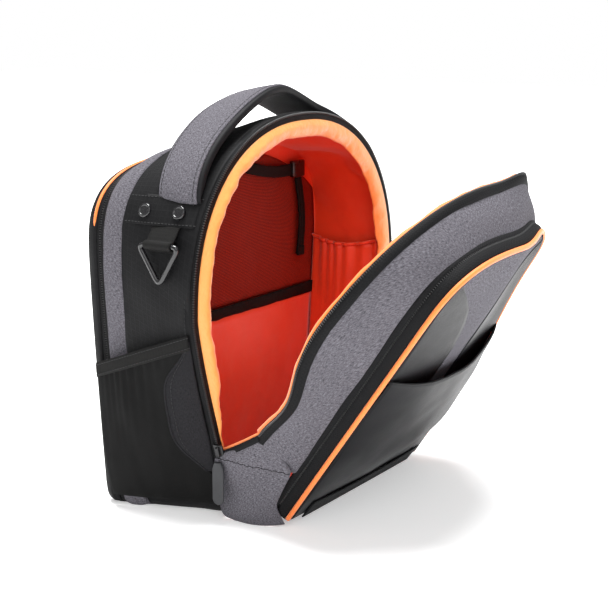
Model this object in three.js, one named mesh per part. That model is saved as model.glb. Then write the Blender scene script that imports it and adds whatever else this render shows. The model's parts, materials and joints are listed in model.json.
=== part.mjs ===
// Flight bag: a crew backpack whose front half swings forward on the main zip.
// Millimetres. X runs across the bag, +Y towards the wearer's back, +Z up. Pieces are laid out with
// the main zip in the plane y = 0, and the whole bag is then moved so that its box is centred.
import * as THREE from 'three';

// ---------- Driving dimensions ----------
const BODY_DEPTH = 100;          // main zip to the rear zip
const SKIN = 3;                  // padded outer walls
const LINING = 2;                // foam-backed satin
const SATIN = 1.2;               // single layers sewn on it
const GAP = 0.3;                 // between pieces that touch
const APEX_Z = 57;               // where both ends of the main zip stop
const HINGE = { y: -9, z: 16 };  // the flap turns about the bag's lower front edge
const OPEN_ANGLE = THREE.MathUtils.degToRad(34.5);
const CENTRING_Y = 48.3;         // moves the centre of the bag's box to y = 0

// Outlines seen from the front. half and foot are half widths at spring height and at the bottom;
// power shapes the domed top, and corner rounds the bottom corners.
const RIM = { half: 158, foot: 104, spring: 173, top: 325, bottom: 0, power: 2.25, corner: 14 };
const REAR = { half: 152, foot: 138, spring: 215, top: 289, bottom: 0, power: 3.4, corner: 14 };
const BAND = { half: 107, foot: 111, spring: 228, top: 304, bottom: 38, power: 3, corner: 10 };
const FRONT = { half: 96, foot: 100, spring: 234, top: 300, bottom: 31, power: 3.2, corner: 10 };
const SIDE_POWER = 1.25;         // how strongly the lower sides bow outwards
const BAND_Y = -35;              // flap gusset to organizer band
const FRONT_Y = -49;             // organizer band to front panel

const STATIONS = { shell: [3.5, 40, 75], rear: [75.3, 92], rearZip: [92.3, 100] };
const DIVIDER = { front: 84.3, back: 90.3 };
const FRONT_BULGE = 17;          // how far the front pocket bows forward
const COVER = { front: 100.3, back: 112, inset: 9 };

const HANDLE = { width: 42, half: 141.5, spring: 268.6, top: 347.5, power: 1.75, strap: 2.6, pad: 7 };
const HANDLE_Y = { base: 27, top: 32 };
const PATCH = { yFrom: 6, yTo: 70, zFrom: 246, zTo: 267, lift: 1, thick: 2 };
const SNAP = { z: 257, front: 22, rear: 54 };
const RING = { y: 31, z: 232, halfWidth: 21.5, drop: 34, bar: 2.2, offset: 9.5 };
const POCKET = { yFrom: 27, yTo: 90, zFrom: 12, topFront: 150, topRear: 118, bulge: 20, thick: 1.6 };
const ZIP = { width: 2.9, proud: 0.8, thick: 2.4, slider: [5, 9, 13] };
const MAIN_PULL = { width: 11, length: 37, thick: 2.6 };
const CORD_PULL = { width: 5, length: 30, thick: 4 };

const SIDE_STEPS = 4;
const ARCH_STEPS = 9;
const SIDES = [['left', -1], ['right', 1]];

// ---------- Materials ----------
const fabric = (color, roughness = 0.9) => () => new THREE.MeshStandardMaterial({ color, roughness, metalness: 0 });
const blackNylon = fabric(0x17171a);
const heather = fabric(0x5c5961);
const blackMesh = fabric(0x101012);
const tape = fabric(0x0d0d0f, 0.7);
const orangeSatin = fabric(0xf04a1c, 0.6);
const apricotSatin = fabric(0xff9a50, 0.5);
const orangePiping = fabric(0xff7a28, 0.7);
const redMesh = fabric(0x8f2a1c);
const rubber = fabric(0x1b1b1e, 0.6);
const greyCord = fabric(0x6a6c70, 0.7);
const plastic = () => new THREE.MeshStandardMaterial({ color: 0x0c0c0d, roughness: 0.3, metalness: 0 });
const darkMetal = () => new THREE.MeshStandardMaterial({ color: 0x1c1c1e, roughness: 0.35, metalness: 0.8 });

// ---------- Outlines ----------
const lerp = THREE.MathUtils.lerp;

// The profile part of the way from one outline to another.
function between(a, b, t) {
  return Object.fromEntries(Object.keys(a).map((key) => [key, lerp(a[key], b[key], t)]));
}

// The profile moved inwards (or outwards, for a negative distance).
function shrunk(profile, distance) {
  const { half, foot, top, bottom } = profile;
  return {
    ...profile, half: half - distance, foot: foot - distance, top: top - distance, bottom: bottom + distance,
  };
}

function bodyProfile(y) {
  return between(RIM, REAR, y / BODY_DEPTH);
}

// The profile above height z, with the same sides and dome.
function raised(profile, z) {
  return { ...profile, bottom: z, foot: sideHalf(profile, z), corner: 3 };
}

function sideHalf({ half, foot, spring, bottom }, z) {
  const rise = THREE.MathUtils.clamp((z - bottom) / (spring - bottom), 0, 1);
  return foot + (half - foot) * (1 - (1 - rise) ** SIDE_POWER);
}

// Right half of the arch from height z up to the top centre, as [x, z] pairs.
function halfArch(profile, fromZ) {
  const { half, spring, top, power } = profile;
  const points = [];
  for (let i = 0; i < SIDE_STEPS; i += 1) {
    const z = lerp(fromZ, spring, i / SIDE_STEPS);
    points.push([sideHalf(profile, z), z]);
  }
  for (let i = 0; i <= ARCH_STEPS; i += 1) {
    const angle = (i / ARCH_STEPS) * (Math.PI / 2);
    const across = Math.max(Math.cos(angle), 0) ** (2 / power);
    points.push([i === ARCH_STEPS ? 0 : half * across, spring + (top - spring) * Math.sin(angle) ** (2 / power)]);
  }
  return points;
}

function mirrored(points) {
  return points.map(([x, z]) => [-x, z]).reverse();
}

// The arch from the right foot over the top to the left foot.
function arch(profile, fromZ) {
  const right = halfArch(profile, fromZ);
  return [...right, ...mirrored(right).slice(1)];
}

// The whole closed outline, from the bottom centre round to the right.
function outline(profile) {
  const { bottom, corner } = profile;
  const flat = profile.foot - corner;
  const cut = corner * (1 - Math.SQRT1_2);
  const right = [[flat, bottom], [profile.foot - cut, bottom + cut], ...halfArch(profile, bottom + corner)];
  return [[0, bottom], ...right, ...mirrored(right).slice(1)];
}

function ring(profile, y) {
  return outline(profile).map(([x, z]) => new THREE.Vector3(x, y, z));
}

// ---------- Closed solids ----------
function signedVolume(points, faces) {
  return faces.reduce((sum, [a, b, c]) => sum + points[a].dot(points[b].clone().cross(points[c])), 0);
}

// A closed mesh whose faces point out, whichever way round the faces were listed.
function solid(points, faces) {
  const outward = signedVolume(points, faces) > 0;
  const geometry = new THREE.BufferGeometry().setFromPoints(points);
  geometry.setIndex(faces.flatMap(([a, b, c]) => (outward ? [a, b, c] : [a, c, b])));
  geometry.computeVertexNormals();
  return geometry;
}

// Joins rings of equal length in order. ends is 'joined' for a tube that meets itself, 'fan' for full
// end faces, and 'strip' for sections that run out along one face and back along the other.
function loft(rings, ends) {
  const count = rings[0].length;
  const points = rings.flat();
  const faces = [];
  const spans = ends === 'joined' ? rings.length : rings.length - 1;
  for (let i = 0; i < spans; i += 1) {
    const here = i * count;
    const next = ((i + 1) % rings.length) * count;
    for (let j = 0; j < count; j += 1) {
      const k = (j + 1) % count;
      faces.push([here + j, here + k, next + k], [here + j, next + k, next + j]);
    }
  }
  const last = (rings.length - 1) * count;
  if (ends === 'fan') {
    addFan(points, faces, 0, count, true);
    addFan(points, faces, last, count, false);
  }
  if (ends === 'strip') {
    addStrip(faces, 0, count, true);
    addStrip(faces, last, count, false);
  }
  return solid(points, faces);
}

function addFan(points, faces, start, count, reverse) {
  const centre = new THREE.Vector3();
  for (let j = 0; j < count; j += 1) centre.addScaledVector(points[start + j], 1 / count);
  const hub = points.push(centre) - 1;
  for (let j = 0; j < count; j += 1) {
    const a = start + j;
    const b = start + ((j + 1) % count);
    faces.push(reverse ? [b, a, hub] : [a, b, hub]);
  }
}

function addStrip(faces, start, count, reverse) {
  for (let j = 0; j < count / 2 - 1; j += 1) {
    const [a, b, c, d] = [start + j, start + j + 1, start + count - 2 - j, start + count - 1 - j];
    faces.push(...(reverse ? [[b, a, c], [a, d, c]] : [[a, b, c], [a, c, d]]));
  }
}

// A wall that follows outlines at several depths, open at both ends.
function tubeWall(stations, profileAt, thick) {
  const outer = stations.map((y) => ring(profileAt(y), y));
  const inner = stations.map((y) => ring(shrunk(profileAt(y), thick), y)).reverse();
  return loft([...outer, ...inner], 'joined');
}

// A cup open towards the front, with its floor at the last station.
function cup(stations, profileAt, thick) {
  const floor = stations[stations.length - 1];
  const outer = stations.map((y) => ring(profileAt(y), y)).reverse();
  const innerStations = [...stations.slice(0, -1), floor - Math.sign(floor - stations[0]) * thick];
  const inner = innerStations.map((y) => ring(shrunk(profileAt(y), thick), y));
  return loft([...outer, ...inner], 'fan');
}

// A flat panel with the given outline, or with a second outline on its far face.
function plate(profile, y0, y1, farProfile = profile) {
  return loft([ring(profile, y0), ring(farProfile, y1)], 'fan');
}

// A band along an arch. rails holds the four edges of its section as [profile, y].
function archBand(rails, fromZ) {
  const edges = rails.map(([profile, y]) => arch(profile, fromZ).map(([x, z]) => new THREE.Vector3(x, y, z)));
  const sections = edges[0].map((_, i) => edges.map((edge) => edge[i]));
  return loft(sections, 'strip');
}

// A band of the given thickness lying between depths y0 and y1 on one profile.
function flatBand(profile, y0, y1, thick, fromZ) {
  const inner = shrunk(profile, thick);
  return archBand([[profile, y0], [profile, y1], [inner, y1], [inner, y0]], fromZ);
}

// Half width of the body's outer skin at depth y and height z.
function skinX(y, z) {
  const points = outline(bodyProfile(y)).filter(([x]) => x >= 0);
  for (let i = 1; i < points.length; i += 1) {
    const [[xa, za], [xb, zb]] = [points[i - 1], points[i]];
    if (zb > za && z <= zb && z >= za) return lerp(xa, xb, (z - za) / (zb - za));
  }
  return 0;
}

// A sheet on one side of the body. lift(y, z) is its height off the skin, and edges(y) its z range.
function sideSheet(side, { ys, rows, edges, lift, thick }) {
  const sections = ys.map((y) => {
    const [zFrom, zTo] = edges(y);
    const heights = Array.from({ length: rows + 1 }, (_, i) => lerp(zFrom, zTo, i / rows));
    const face = (extra) => heights.map((z) => new THREE.Vector3(side * (skinX(y, z) + lift(y, z) + extra), y, z));
    return [...face(thick), ...face(0).reverse()];
  });
  return loft(sections, 'strip');
}

function spread(from, to, steps) {
  return Array.from({ length: steps + 1 }, (_, i) => lerp(from, to, i / steps));
}

function box(x0, x1, y0, y1, z0, z1) {
  const geometry = new THREE.BoxGeometry(x1 - x0, y1 - y0, z1 - z0);
  return geometry.translate((x0 + x1) / 2, (y0 + y1) / 2, (z0 + z1) / 2);
}

function addTo(group, name, geometry, material) {
  const mesh = new THREE.Mesh(geometry, material());
  mesh.name = name;
  group.add(mesh);
  return mesh;
}

// ---------- Body: outer skin ----------
function addShell(bag) {
  addTo(bag, 'body_shell', tubeWall(STATIONS.shell, bodyProfile, SKIN), blackNylon);
  addTo(bag, 'rear_gusset', tubeWall(STATIONS.rear, bodyProfile, SKIN), heather);
  addTo(bag, 'rear_zip_band', tubeWall(STATIONS.rearZip, bodyProfile, SKIN), tape);
  addTo(bag, 'main_zip_band', flatBand(shrunk(RIM, -ZIP.proud), GAP, GAP + ZIP.width, ZIP.thick, APEX_Z), tape);
}

// The solid stands inside the fabric wedge that joins the body to the flap below the zip ends.
function addLowerGusset(bag) {
  const wedge = { back: 3.1, frontBottom: -30, frontTop: -0.8, bottom: 0.8, top: 51 };
  const level = (z, t) => {
    const rear = sideHalf(RIM, z) - 3;
    const frontY = lerp(wedge.frontBottom, wedge.frontTop, t);
    const front = rear - lerp(12, 1, t);
    const corners = [[-front, frontY], [front, frontY], [rear, wedge.back], [-rear, wedge.back]];
    return corners.map(([x, y]) => new THREE.Vector3(x, y, z));
  };
  const levels = spread(0, 1, 2).map((t) => level(lerp(wedge.bottom, wedge.top, t), t));
  addTo(bag, 'lower_front_gusset', loft(levels, 'fan'), heather);
}

// ---------- Body: lining and inner pockets ----------
const LINER_INSET = SKIN + 0.6;
const LINED = LINER_INSET + LINING;

function addLining(bag) {
  const lined = (y) => shrunk(bodyProfile(y), LINER_INSET);
  addTo(bag, 'inner_lining', cup([3.4, 40, 75, DIVIDER.front - GAP], lined, LINING), orangeSatin);
  const facing = shrunk(RIM, LINED + 1.3);
  const facingBack = shrunk(bodyProfile(20), LINED + 1.3);
  const facingRails = [
    [facing, GAP], [facingBack, 20], [shrunk(facingBack, SATIN), 20], [shrunk(facing, SATIN), GAP],
  ];
  addTo(bag, 'rim_facing', archBand(facingRails, APEX_Z + 6), apricotSatin);
  const dividerEnds = [DIVIDER.front, DIVIDER.back];
  const [dividerFront, dividerBack] = dividerEnds.map((y) => shrunk(bodyProfile(y), LINER_INSET));
  addTo(bag, 'divider_panel', plate(dividerFront, ...dividerEnds, dividerBack), blackNylon);
}

function addInnerPockets(bag) {
  const wall = DIVIDER.front - GAP - LINING - GAP;
  const pocketProfile = shrunk(bodyProfile(wall), LINED + 5);
  const hemZ = 140;
  const lower = { ...pocketProfile, spring: hemZ - 30, half: sideHalf(pocketProfile, hemZ), top: hemZ, power: 12 };
  addTo(bag, 'inner_mesh_pocket', plate(raised(pocketProfile, hemZ + 12), wall - 1.4, wall), redMesh);
  addTo(bag, 'inner_lower_pocket', plate(lower, wall - 1.4, wall), orangeSatin);
  const hemHalf = sideHalf(pocketProfile, hemZ) - 1;
  addTo(bag, 'inner_pocket_elastic', box(-hemHalf, hemHalf, wall - 2.2, wall, hemZ + 0.5, hemZ + 11.5), tape);
  for (const [name, side] of SIDES) {
    const sheet = sideSheet(side, {
      ys: spread(24, 74, 3), rows: 6, thick: SATIN,
      edges: () => [16, 196],
      lift: () => -(LINED + 4.2 + SATIN),
    });
    addTo(bag, `inner_side_pocket_${name}`, sheet, orangeSatin);
  }
}

// A webbing strap with a buckle across the top of the back wall; its tail hangs below the buckle.
function addHangerStrap(bag) {
  const y = 76;
  addTo(bag, 'hanger_strap', box(24, 99, y, y + 1.6, 258, 270), tape);
  addTo(bag, 'hanger_buckle', box(99.4, 119, y - 3, y + 3, 256, 272), plastic);
  addTo(bag, 'hanger_tail', box(104, 114, y - 1, y + 0.6, 178, 255.6), tape);
}

// ---------- Body: sides ----------
function addSideParts(bag) {
  const pocketTop = (y) => lerp(POCKET.topFront, POCKET.topRear, (y - POCKET.yFrom) / (POCKET.yTo - POCKET.yFrom));
  const across = (y) => Math.sin(Math.PI * THREE.MathUtils.clamp((y - POCKET.yFrom) / (POCKET.yTo - POCKET.yFrom), 0, 1));
  const up = (z) => Math.sin((Math.PI / 2) * THREE.MathUtils.clamp((z - POCKET.zFrom) / 80, 0, 1));
  const bulge = (y, z) => 2.4 + POCKET.bulge * across(y) ** 0.7 * up(z);
  const pocketYs = spread(POCKET.yFrom, POCKET.yTo, 8);
  const bandHeight = 12;
  for (const [name, side] of SIDES) {
    const pocket = { ys: pocketYs, rows: 6, edges: (y) => [POCKET.zFrom, pocketTop(y)], lift: bulge, thick: POCKET.thick };
    addTo(bag, `side_pocket_${name}`, sideSheet(side, pocket), blackMesh);
    const band = {
      ys: pocketYs, rows: 1, edges: (y) => [pocketTop(y) - bandHeight, pocketTop(y)], thick: 1,
      lift: (y, z) => bulge(y, z) + POCKET.thick + GAP + 0.2,
    };
    addTo(bag, `pocket_band_${name}`, sideSheet(side, band), tape);
    const panel = {
      ys: spread(6, POCKET.yFrom - 1, 2), rows: 6, edges: () => [POCKET.zFrom + 6, 172], lift: () => 1.8, thick: 1.6,
    };
    addTo(bag, `side_panel_${name}`, sideSheet(side, panel), heather);
  }
}

function addAnchorPatches(bag) {
  for (const [name, side] of SIDES) {
    const patch = {
      ys: spread(PATCH.yFrom, PATCH.yTo, 3), rows: 3, edges: () => [PATCH.zFrom, PATCH.zTo],
      lift: () => PATCH.lift, thick: PATCH.thick,
    };
    addTo(bag, `anchor_patch_${name}`, sideSheet(side, patch), blackNylon);
    for (const [place, y] of [['front', SNAP.front], ['rear', SNAP.rear]]) {
      const { z } = SNAP;
      const lean = Math.atan2(skinX(y, z + 6) - skinX(y, z - 6), 12);
      const snap = new THREE.CylinderGeometry(5.5, 6, 2.2, 16).rotateZ(Math.PI / 2).rotateY(side * lean);
      snap.translate(side * (skinX(y, z) + PATCH.lift + PATCH.thick + 2), y, z);
      addTo(bag, `snap_${place}_${name}`, snap, plastic);
    }
  }
}

// ---------- Handle ----------
// The outer face of the strap, from one side over the top to the other.
function handlePath() {
  const { half, spring, top, power } = HANDLE;
  return spread(0, Math.PI, 18).map((angle) => {
    const [across, up] = [Math.cos(angle), Math.sin(angle)];
    const x = half * Math.sign(across) * Math.abs(across) ** (2 / power);
    return [x, spring + (top - spring) * up ** (2 / power)];
  });
}

// A layer of the handle, depth under its outer face; trim leaves out that many steps at each end.
function handleLayer(depth, thick, width, trim) {
  const path = handlePath();
  const sections = path.map(([x, z], i) => {
    const [before, after] = [path[Math.max(i - 1, 0)], path[Math.min(i + 1, path.length - 1)]];
    const along = new THREE.Vector2(after[0] - before[0], after[1] - before[1]).normalize();
    const rise = (z - HANDLE.spring) / (HANDLE.top - HANDLE.spring);
    const y = lerp(HANDLE_Y.base, HANDLE_Y.top, rise);
    const corner = (under, dy) => new THREE.Vector3(x - along.y * under, y + dy, z + along.x * under);
    const low = depth + thick;
    return [corner(low, -width / 2), corner(low, width / 2), corner(depth, width / 2), corner(depth, -width / 2)];
  });
  return loft(sections.slice(trim, sections.length - trim), 'strip');
}

function addHandle(bag) {
  addTo(bag, 'handle_pad', handleLayer(HANDLE.strap + GAP, HANDLE.pad, HANDLE.width, 1), blackNylon);
  addTo(bag, 'handle_strap', handleLayer(0, HANDLE.strap, HANDLE.width - 6, 0), heather);
}

// ---------- D-rings ----------
function ringPath() {
  const { halfWidth, drop } = RING;
  const shape = new THREE.Shape();
  const corner = 5;
  shape.moveTo(-halfWidth + corner, 0);
  shape.lineTo(halfWidth - corner, 0);
  shape.quadraticCurveTo(halfWidth, 0, halfWidth - corner * 0.4, -corner);
  shape.lineTo(corner, -drop + corner);
  shape.quadraticCurveTo(0, -drop - 1, -corner, -drop + corner);
  shape.lineTo(-halfWidth + corner * 0.4, -corner);
  shape.quadraticCurveTo(-halfWidth, 0, -halfWidth + corner, 0);
  return shape.getPoints(4).slice(0, -1);
}

function ringBar() {
  const path = ringPath();
  const sides = 8;
  const sections = path.map((point, i) => {
    const before = path[(i + path.length - 1) % path.length];
    const after = path[(i + 1) % path.length];
    const along = after.clone().sub(before).normalize();
    const inward = new THREE.Vector2(-along.y, along.x);
    return Array.from({ length: sides }, (_, k) => {
      const angle = (k / sides) * 2 * Math.PI;
      const across = RING.bar * Math.cos(angle);
      return new THREE.Vector3(RING.bar * Math.sin(angle), point.x + inward.x * across, point.y + inward.y * across);
    });
  });
  return loft(sections, 'joined');
}

// The webbing loop that the straight side of the ring turns in.
function ringLoop() {
  const [inner, outer, sides] = [RING.bar + 0.7, RING.bar + 2.3, 14];
  const halfLength = 13;
  const circle = (radius, y) => Array.from({ length: sides }, (_, k) => {
    const angle = (k / sides) * 2 * Math.PI;
    return new THREE.Vector3(radius * Math.cos(angle), y, radius * Math.sin(angle));
  });
  const rings = [[outer, -1], [outer, 1], [inner, 1], [inner, -1]].map(([radius, end]) => circle(radius, end * halfLength));
  return loft(rings, 'joined');
}

function addRings(bag) {
  for (const [name, side] of SIDES) {
    const x = side * (skinX(RING.y, RING.z) + RING.offset);
    addTo(bag, `d_ring_loop_${name}`, ringLoop().translate(x, RING.y, RING.z), tape);
    addTo(bag, `d_ring_${name}`, ringBar().translate(x, RING.y, RING.z), plastic);
  }
}

// ---------- Sliders and pulls ----------
function sliderBody() {
  const [thick, width, length] = ZIP.slider;
  const shape = new THREE.Shape();
  shape.moveTo(-width / 2, length / 2);
  shape.lineTo(-width / 3, -length / 2);
  shape.lineTo(width / 3, -length / 2);
  shape.lineTo(width / 2, length / 2);
  shape.lineTo(0, length / 2 - 1.5);
  shape.closePath();
  const geometry = new THREE.ExtrudeGeometry(shape, { depth: thick, bevelEnabled: false });
  return geometry.rotateX(Math.PI / 2).rotateZ(Math.PI / 2).translate(-thick / 2, 0, 0);
}

// A flat tab with a round lower end, hanging from its top edge at the origin.
function pullTab({ width, length, thick }) {
  const shape = new THREE.Shape();
  const [top, round] = [-0.8, width / 2];
  shape.moveTo(-width * 0.32, top);
  shape.lineTo(-round, top - width);
  shape.lineTo(-round, -length + round);
  shape.absarc(0, -length + round, round, Math.PI, 2 * Math.PI, false);
  shape.lineTo(round, top - width);
  shape.lineTo(width * 0.32, top);
  shape.closePath();
  const geometry = new THREE.ExtrudeGeometry(shape, { depth: thick, bevelEnabled: false, curveSegments: 6 });
  return geometry.rotateX(Math.PI / 2).rotateZ(Math.PI / 2).translate(-thick / 2, 0, 0);
}

// Sets a slider at height z on a zip, with its pull hanging from it.
function addSlider(group, names, profile, [side, y, z], pull, pullMaterial) {
  const stretch = 20;
  const lean = Math.atan2(sideHalf(profile, z + stretch) - sideHalf(profile, z - stretch), 2 * stretch);
  const x = sideHalf(profile, z) + ZIP.proud + 1.6 + ZIP.slider[0] / 2;
  const slider = addTo(group, names[0], sliderBody(), darkMetal);
  slider.position.set(side * x, y, z);
  slider.rotation.y = side * lean;
  const tab = addTo(group, names[1], pullTab(pull), pullMaterial);
  tab.position.set(side * (x + 0.6), y, z - ZIP.slider[2] / 2 - 1.5);
}

function addBodySliders(bag) {
  for (const [name, side] of SIDES) {
    addSlider(bag, [`main_slider_${name}`, `main_pull_${name}`], RIM, [side, -3, 62], MAIN_PULL, rubber);
    const rearZip = bodyProfile(96);
    addSlider(bag, [`rear_slider_${name}`, `rear_pull_${name}`], rearZip, [side, 96, 85], CORD_PULL, greyCord);
  }
}

// ---------- Rear compartment cover ----------
function addRearCover(bag) {
  const edge = bodyProfile(BODY_DEPTH);
  const { front, back, inset } = COVER;
  const rings = [[front, 1], [front + 4, 0.4], [back - 4, 3], [back, inset]].map(([y, d]) => ring(shrunk(edge, d), y));
  addTo(bag, 'back_panel', loft(rings, 'fan'), blackNylon);
  addTo(bag, 'rear_piping', flatBand(shrunk(edge, -3.4), front + 1, front + 4.4, 3, 40), orangePiping);
}

// ---------- Flap, laid out closed ----------
const FLAP_RIM = raised(RIM, APEX_Z);
const FLAP_START = -(GAP + ZIP.width + GAP);
const FLAP_MIDDLE = -17;  // depth of the ring of points halfway along the flap's wall and lining
const FLAP_LINER = { inset: LINER_INSET + 0.6, front: FLAP_START - 1.5, back: BAND_Y + 2.5 };

function flapProfile(y) {
  return between(FLAP_RIM, BAND, (y - FLAP_START) / (BAND_Y - FLAP_START));
}

function addFlapSkin(flap) {
  const zipProfile = shrunk(RIM, -ZIP.proud);
  addTo(flap, 'flap_zip_band', flatBand(zipProfile, -GAP, -GAP - ZIP.width, ZIP.thick, APEX_Z + 1.5), tape);
  addTo(flap, 'flap_gusset', tubeWall([FLAP_START, FLAP_MIDDLE, BAND_Y], flapProfile, SKIN), heather);
  const lined = (y) => shrunk(flapProfile(y), FLAP_LINER.inset);
  addTo(flap, 'flap_lining', cup([FLAP_LINER.front, FLAP_MIDDLE, FLAP_LINER.back], lined, LINING), orangeSatin);
  const facing = shrunk(FLAP_RIM, SKIN + GAP);
  addTo(flap, 'flap_facing', flatBand(facing, -GAP, FLAP_START + GAP, SATIN, APEX_Z + 8), orangePiping);
}

function addOrganizer(flap) {
  const wallBack = BAND_Y + 1;
  const divider = shrunk(BAND, SKIN + GAP + 0.4);
  addTo(flap, 'organizer_divider', plate(divider, wallBack, wallBack - 2.4), blackNylon);
  const band = (y) => between(BAND, FRONT, (y - BAND_Y) / (FRONT_Y - BAND_Y));
  addTo(flap, 'organizer_gusset', tubeWall([BAND_Y - GAP, FRONT_Y], band, 2), blackNylon);
  const [zipStart, zipEnd] = [-40, -44];
  const rails = [
    [shrunk(band(zipStart), -2.2), zipStart], [shrunk(band(zipEnd), -2.2), zipEnd],
    [shrunk(band(zipEnd), -0.8), zipEnd], [shrunk(band(zipStart), -0.8), zipStart],
  ];
  addTo(flap, 'organizer_zip', archBand(rails, 60), tape);
  const slip = { ...shrunk(BAND, 14), top: 190, spring: 150, power: 10 };
  addTo(flap, 'organizer_slip_pocket', plate(slip, wallBack - 2.7, wallBack - 3.9), blackMesh);
  const middle = (zipStart + zipEnd) / 2;
  const zipMiddle = shrunk(band(middle), -2.8);
  addSlider(flap, ['organizer_slider', 'organizer_pull'], zipMiddle, [1, middle, 100], CORD_PULL, rubber);
}

// ---------- Front panel of the organizer ----------
function bulgedFront(z, x) {
  const up = Math.sin(Math.PI * THREE.MathUtils.clamp((z - 48) / (250 - 48), 0, 1));
  const across = Math.cos((Math.PI / 2) * THREE.MathUtils.clamp(x / FRONT.half, -1, 1)) ** 0.5;
  return FRONT_BULGE * up * across;
}

// The open-topped front pocket bows away from the panel.
function addFrontPocket(flap, panelFront) {
  const [bottom, topZ, thick, rows] = [48, 178, 1.6, 6];
  const xs = spread(-FRONT.half + 4, FRONT.half - 4, 10);
  const sheet = (zFrom, zTo, steps, lift, depth) => xs.map((x) => {
    const heights = spread(zFrom, zTo, steps);
    const face = (extra) => heights.map((z) => new THREE.Vector3(x, panelFront - lift - bulgedFront(z, x) - extra, z));
    return [...face(depth), ...face(0).reverse()];
  });
  addTo(flap, 'front_pocket', loft(sheet(bottom, topZ, rows, GAP + 0.3, thick), 'strip'), blackNylon);
  const hem = sheet(topZ - 10, topZ, 1, thick + 2 * GAP + 0.5, 1);
  addTo(flap, 'front_pocket_hem', loft(hem, 'strip'), tape);
}

function addFrontPanel(flap) {
  const panelFront = FRONT_Y - GAP - 3;
  addTo(flap, 'front_panel', plate(shrunk(FRONT, 0.5), FRONT_Y - GAP, panelFront), heather);
  const piping = shrunk(FRONT, -3.2);
  addTo(flap, 'front_piping', flatBand(piping, FRONT_Y - GAP, panelFront, 3.2, 42), orangePiping);
  addFrontPocket(flap, panelFront);
  addTo(flap, 'front_binding', box(-68, 68, panelFront - 2.2, panelFront - GAP, FRONT.bottom + 2, 44), tape);
}

function addFlap(bag) {
  const flap = new THREE.Group();
  addFlapSkin(flap);
  addOrganizer(flap);
  addFrontPanel(flap);
  for (const mesh of flap.children) {
    mesh.position.y -= HINGE.y;
    mesh.position.z -= HINGE.z;
  }
  flap.position.set(0, HINGE.y, HINGE.z);
  flap.rotation.x = OPEN_ANGLE;
  bag.add(flap);
}

function buildBag() {
  const bag = new THREE.Group();
  addShell(bag);
  addLowerGusset(bag);
  addLining(bag);
  addInnerPockets(bag);
  addHangerStrap(bag);
  addSideParts(bag);
  addAnchorPatches(bag);
  addHandle(bag);
  addRings(bag);
  addBodySliders(bag);
  addRearCover(bag);
  addFlap(bag);
  bag.position.y = CENTRING_Y;
  return bag;
}

const group = buildBag();
export default group;
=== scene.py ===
"""The looks of a flight bag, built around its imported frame.

Lengths are millimetres in the layout frame, where the main zip lies in the plane y = 0, and become
metres in the row frame when a mesh is made. The flap is laid out closed and then opened.
"""

import json
import math
from collections import namedtuple

import bmesh
import bpy
import numpy as np
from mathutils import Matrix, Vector, noise


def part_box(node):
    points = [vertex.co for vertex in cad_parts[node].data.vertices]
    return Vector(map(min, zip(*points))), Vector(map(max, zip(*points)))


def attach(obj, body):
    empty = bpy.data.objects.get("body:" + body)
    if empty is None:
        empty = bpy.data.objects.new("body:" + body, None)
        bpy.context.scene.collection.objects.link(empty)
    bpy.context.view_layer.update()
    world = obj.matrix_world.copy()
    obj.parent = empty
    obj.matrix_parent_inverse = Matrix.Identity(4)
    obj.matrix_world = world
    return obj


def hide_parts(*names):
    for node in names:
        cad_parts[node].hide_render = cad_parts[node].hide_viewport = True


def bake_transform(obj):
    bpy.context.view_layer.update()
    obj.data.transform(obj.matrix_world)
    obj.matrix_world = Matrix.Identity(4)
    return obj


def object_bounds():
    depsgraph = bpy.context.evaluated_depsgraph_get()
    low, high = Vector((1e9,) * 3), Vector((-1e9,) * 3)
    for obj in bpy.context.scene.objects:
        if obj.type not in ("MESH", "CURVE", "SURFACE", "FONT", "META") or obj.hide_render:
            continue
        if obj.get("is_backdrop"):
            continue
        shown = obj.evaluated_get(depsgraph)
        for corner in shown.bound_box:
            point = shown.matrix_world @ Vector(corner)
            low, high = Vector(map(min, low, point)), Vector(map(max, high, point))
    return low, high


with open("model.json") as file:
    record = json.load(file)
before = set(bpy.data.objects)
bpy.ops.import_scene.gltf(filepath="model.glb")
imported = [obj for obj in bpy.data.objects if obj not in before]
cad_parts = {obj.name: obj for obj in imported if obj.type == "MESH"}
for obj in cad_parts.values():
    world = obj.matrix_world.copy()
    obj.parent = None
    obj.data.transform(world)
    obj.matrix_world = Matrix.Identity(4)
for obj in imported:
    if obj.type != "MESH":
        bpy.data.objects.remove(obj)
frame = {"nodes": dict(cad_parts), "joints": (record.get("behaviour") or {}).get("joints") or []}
CAD_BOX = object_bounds()

# ---------- Driving dimensions ----------
MM = 0.001
RIM_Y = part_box("main_zip_band")[0].y / MM - 0.3
HINGE = next(j for j in frame["joints"] if j["name"] == "flap_hinge")
HINGE_Y = HINGE["pos_m"][1] / MM - RIM_Y
HINGE_Z = HINGE["pos_m"][2] / MM
APEX_Z = 57
OPEN_ANGLE = math.radians(-HINGE["range_deg"][0])

Profile = namedtuple("Profile", "half foot spring top bottom power corner")
RIM = Profile(158, 104, 173, 325, 0, 2.25, 14)
REAR = Profile(152, 138, 215, 289, 0, 3.4, 14)
BAND = Profile(110, 114, 228, 304, 38, 3.0, 8)
FRONT = Profile(104, 107, 236, 303, 31, 3.2, 8)
SIDE_POWER = 1.25
BODY_DEPTH = 100
BAND_Y = -35
FRONT_Y = -49
SIDES = (("left", -1), ("right", 1))
Y_AXIS = np.array([0.0, 1.0, 0.0])


# ---------- Outlines ----------
def smooth_step(t):
    t = np.clip(t, 0, 1)
    return t * t * (3 - 2 * t)


def curve(start, control, end, t):
    """The part t of the way along a curve from start to end that bends toward control."""
    return (1 - t) ** 2 * start + 2 * t * (1 - t) * control + t**2 * end


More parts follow.
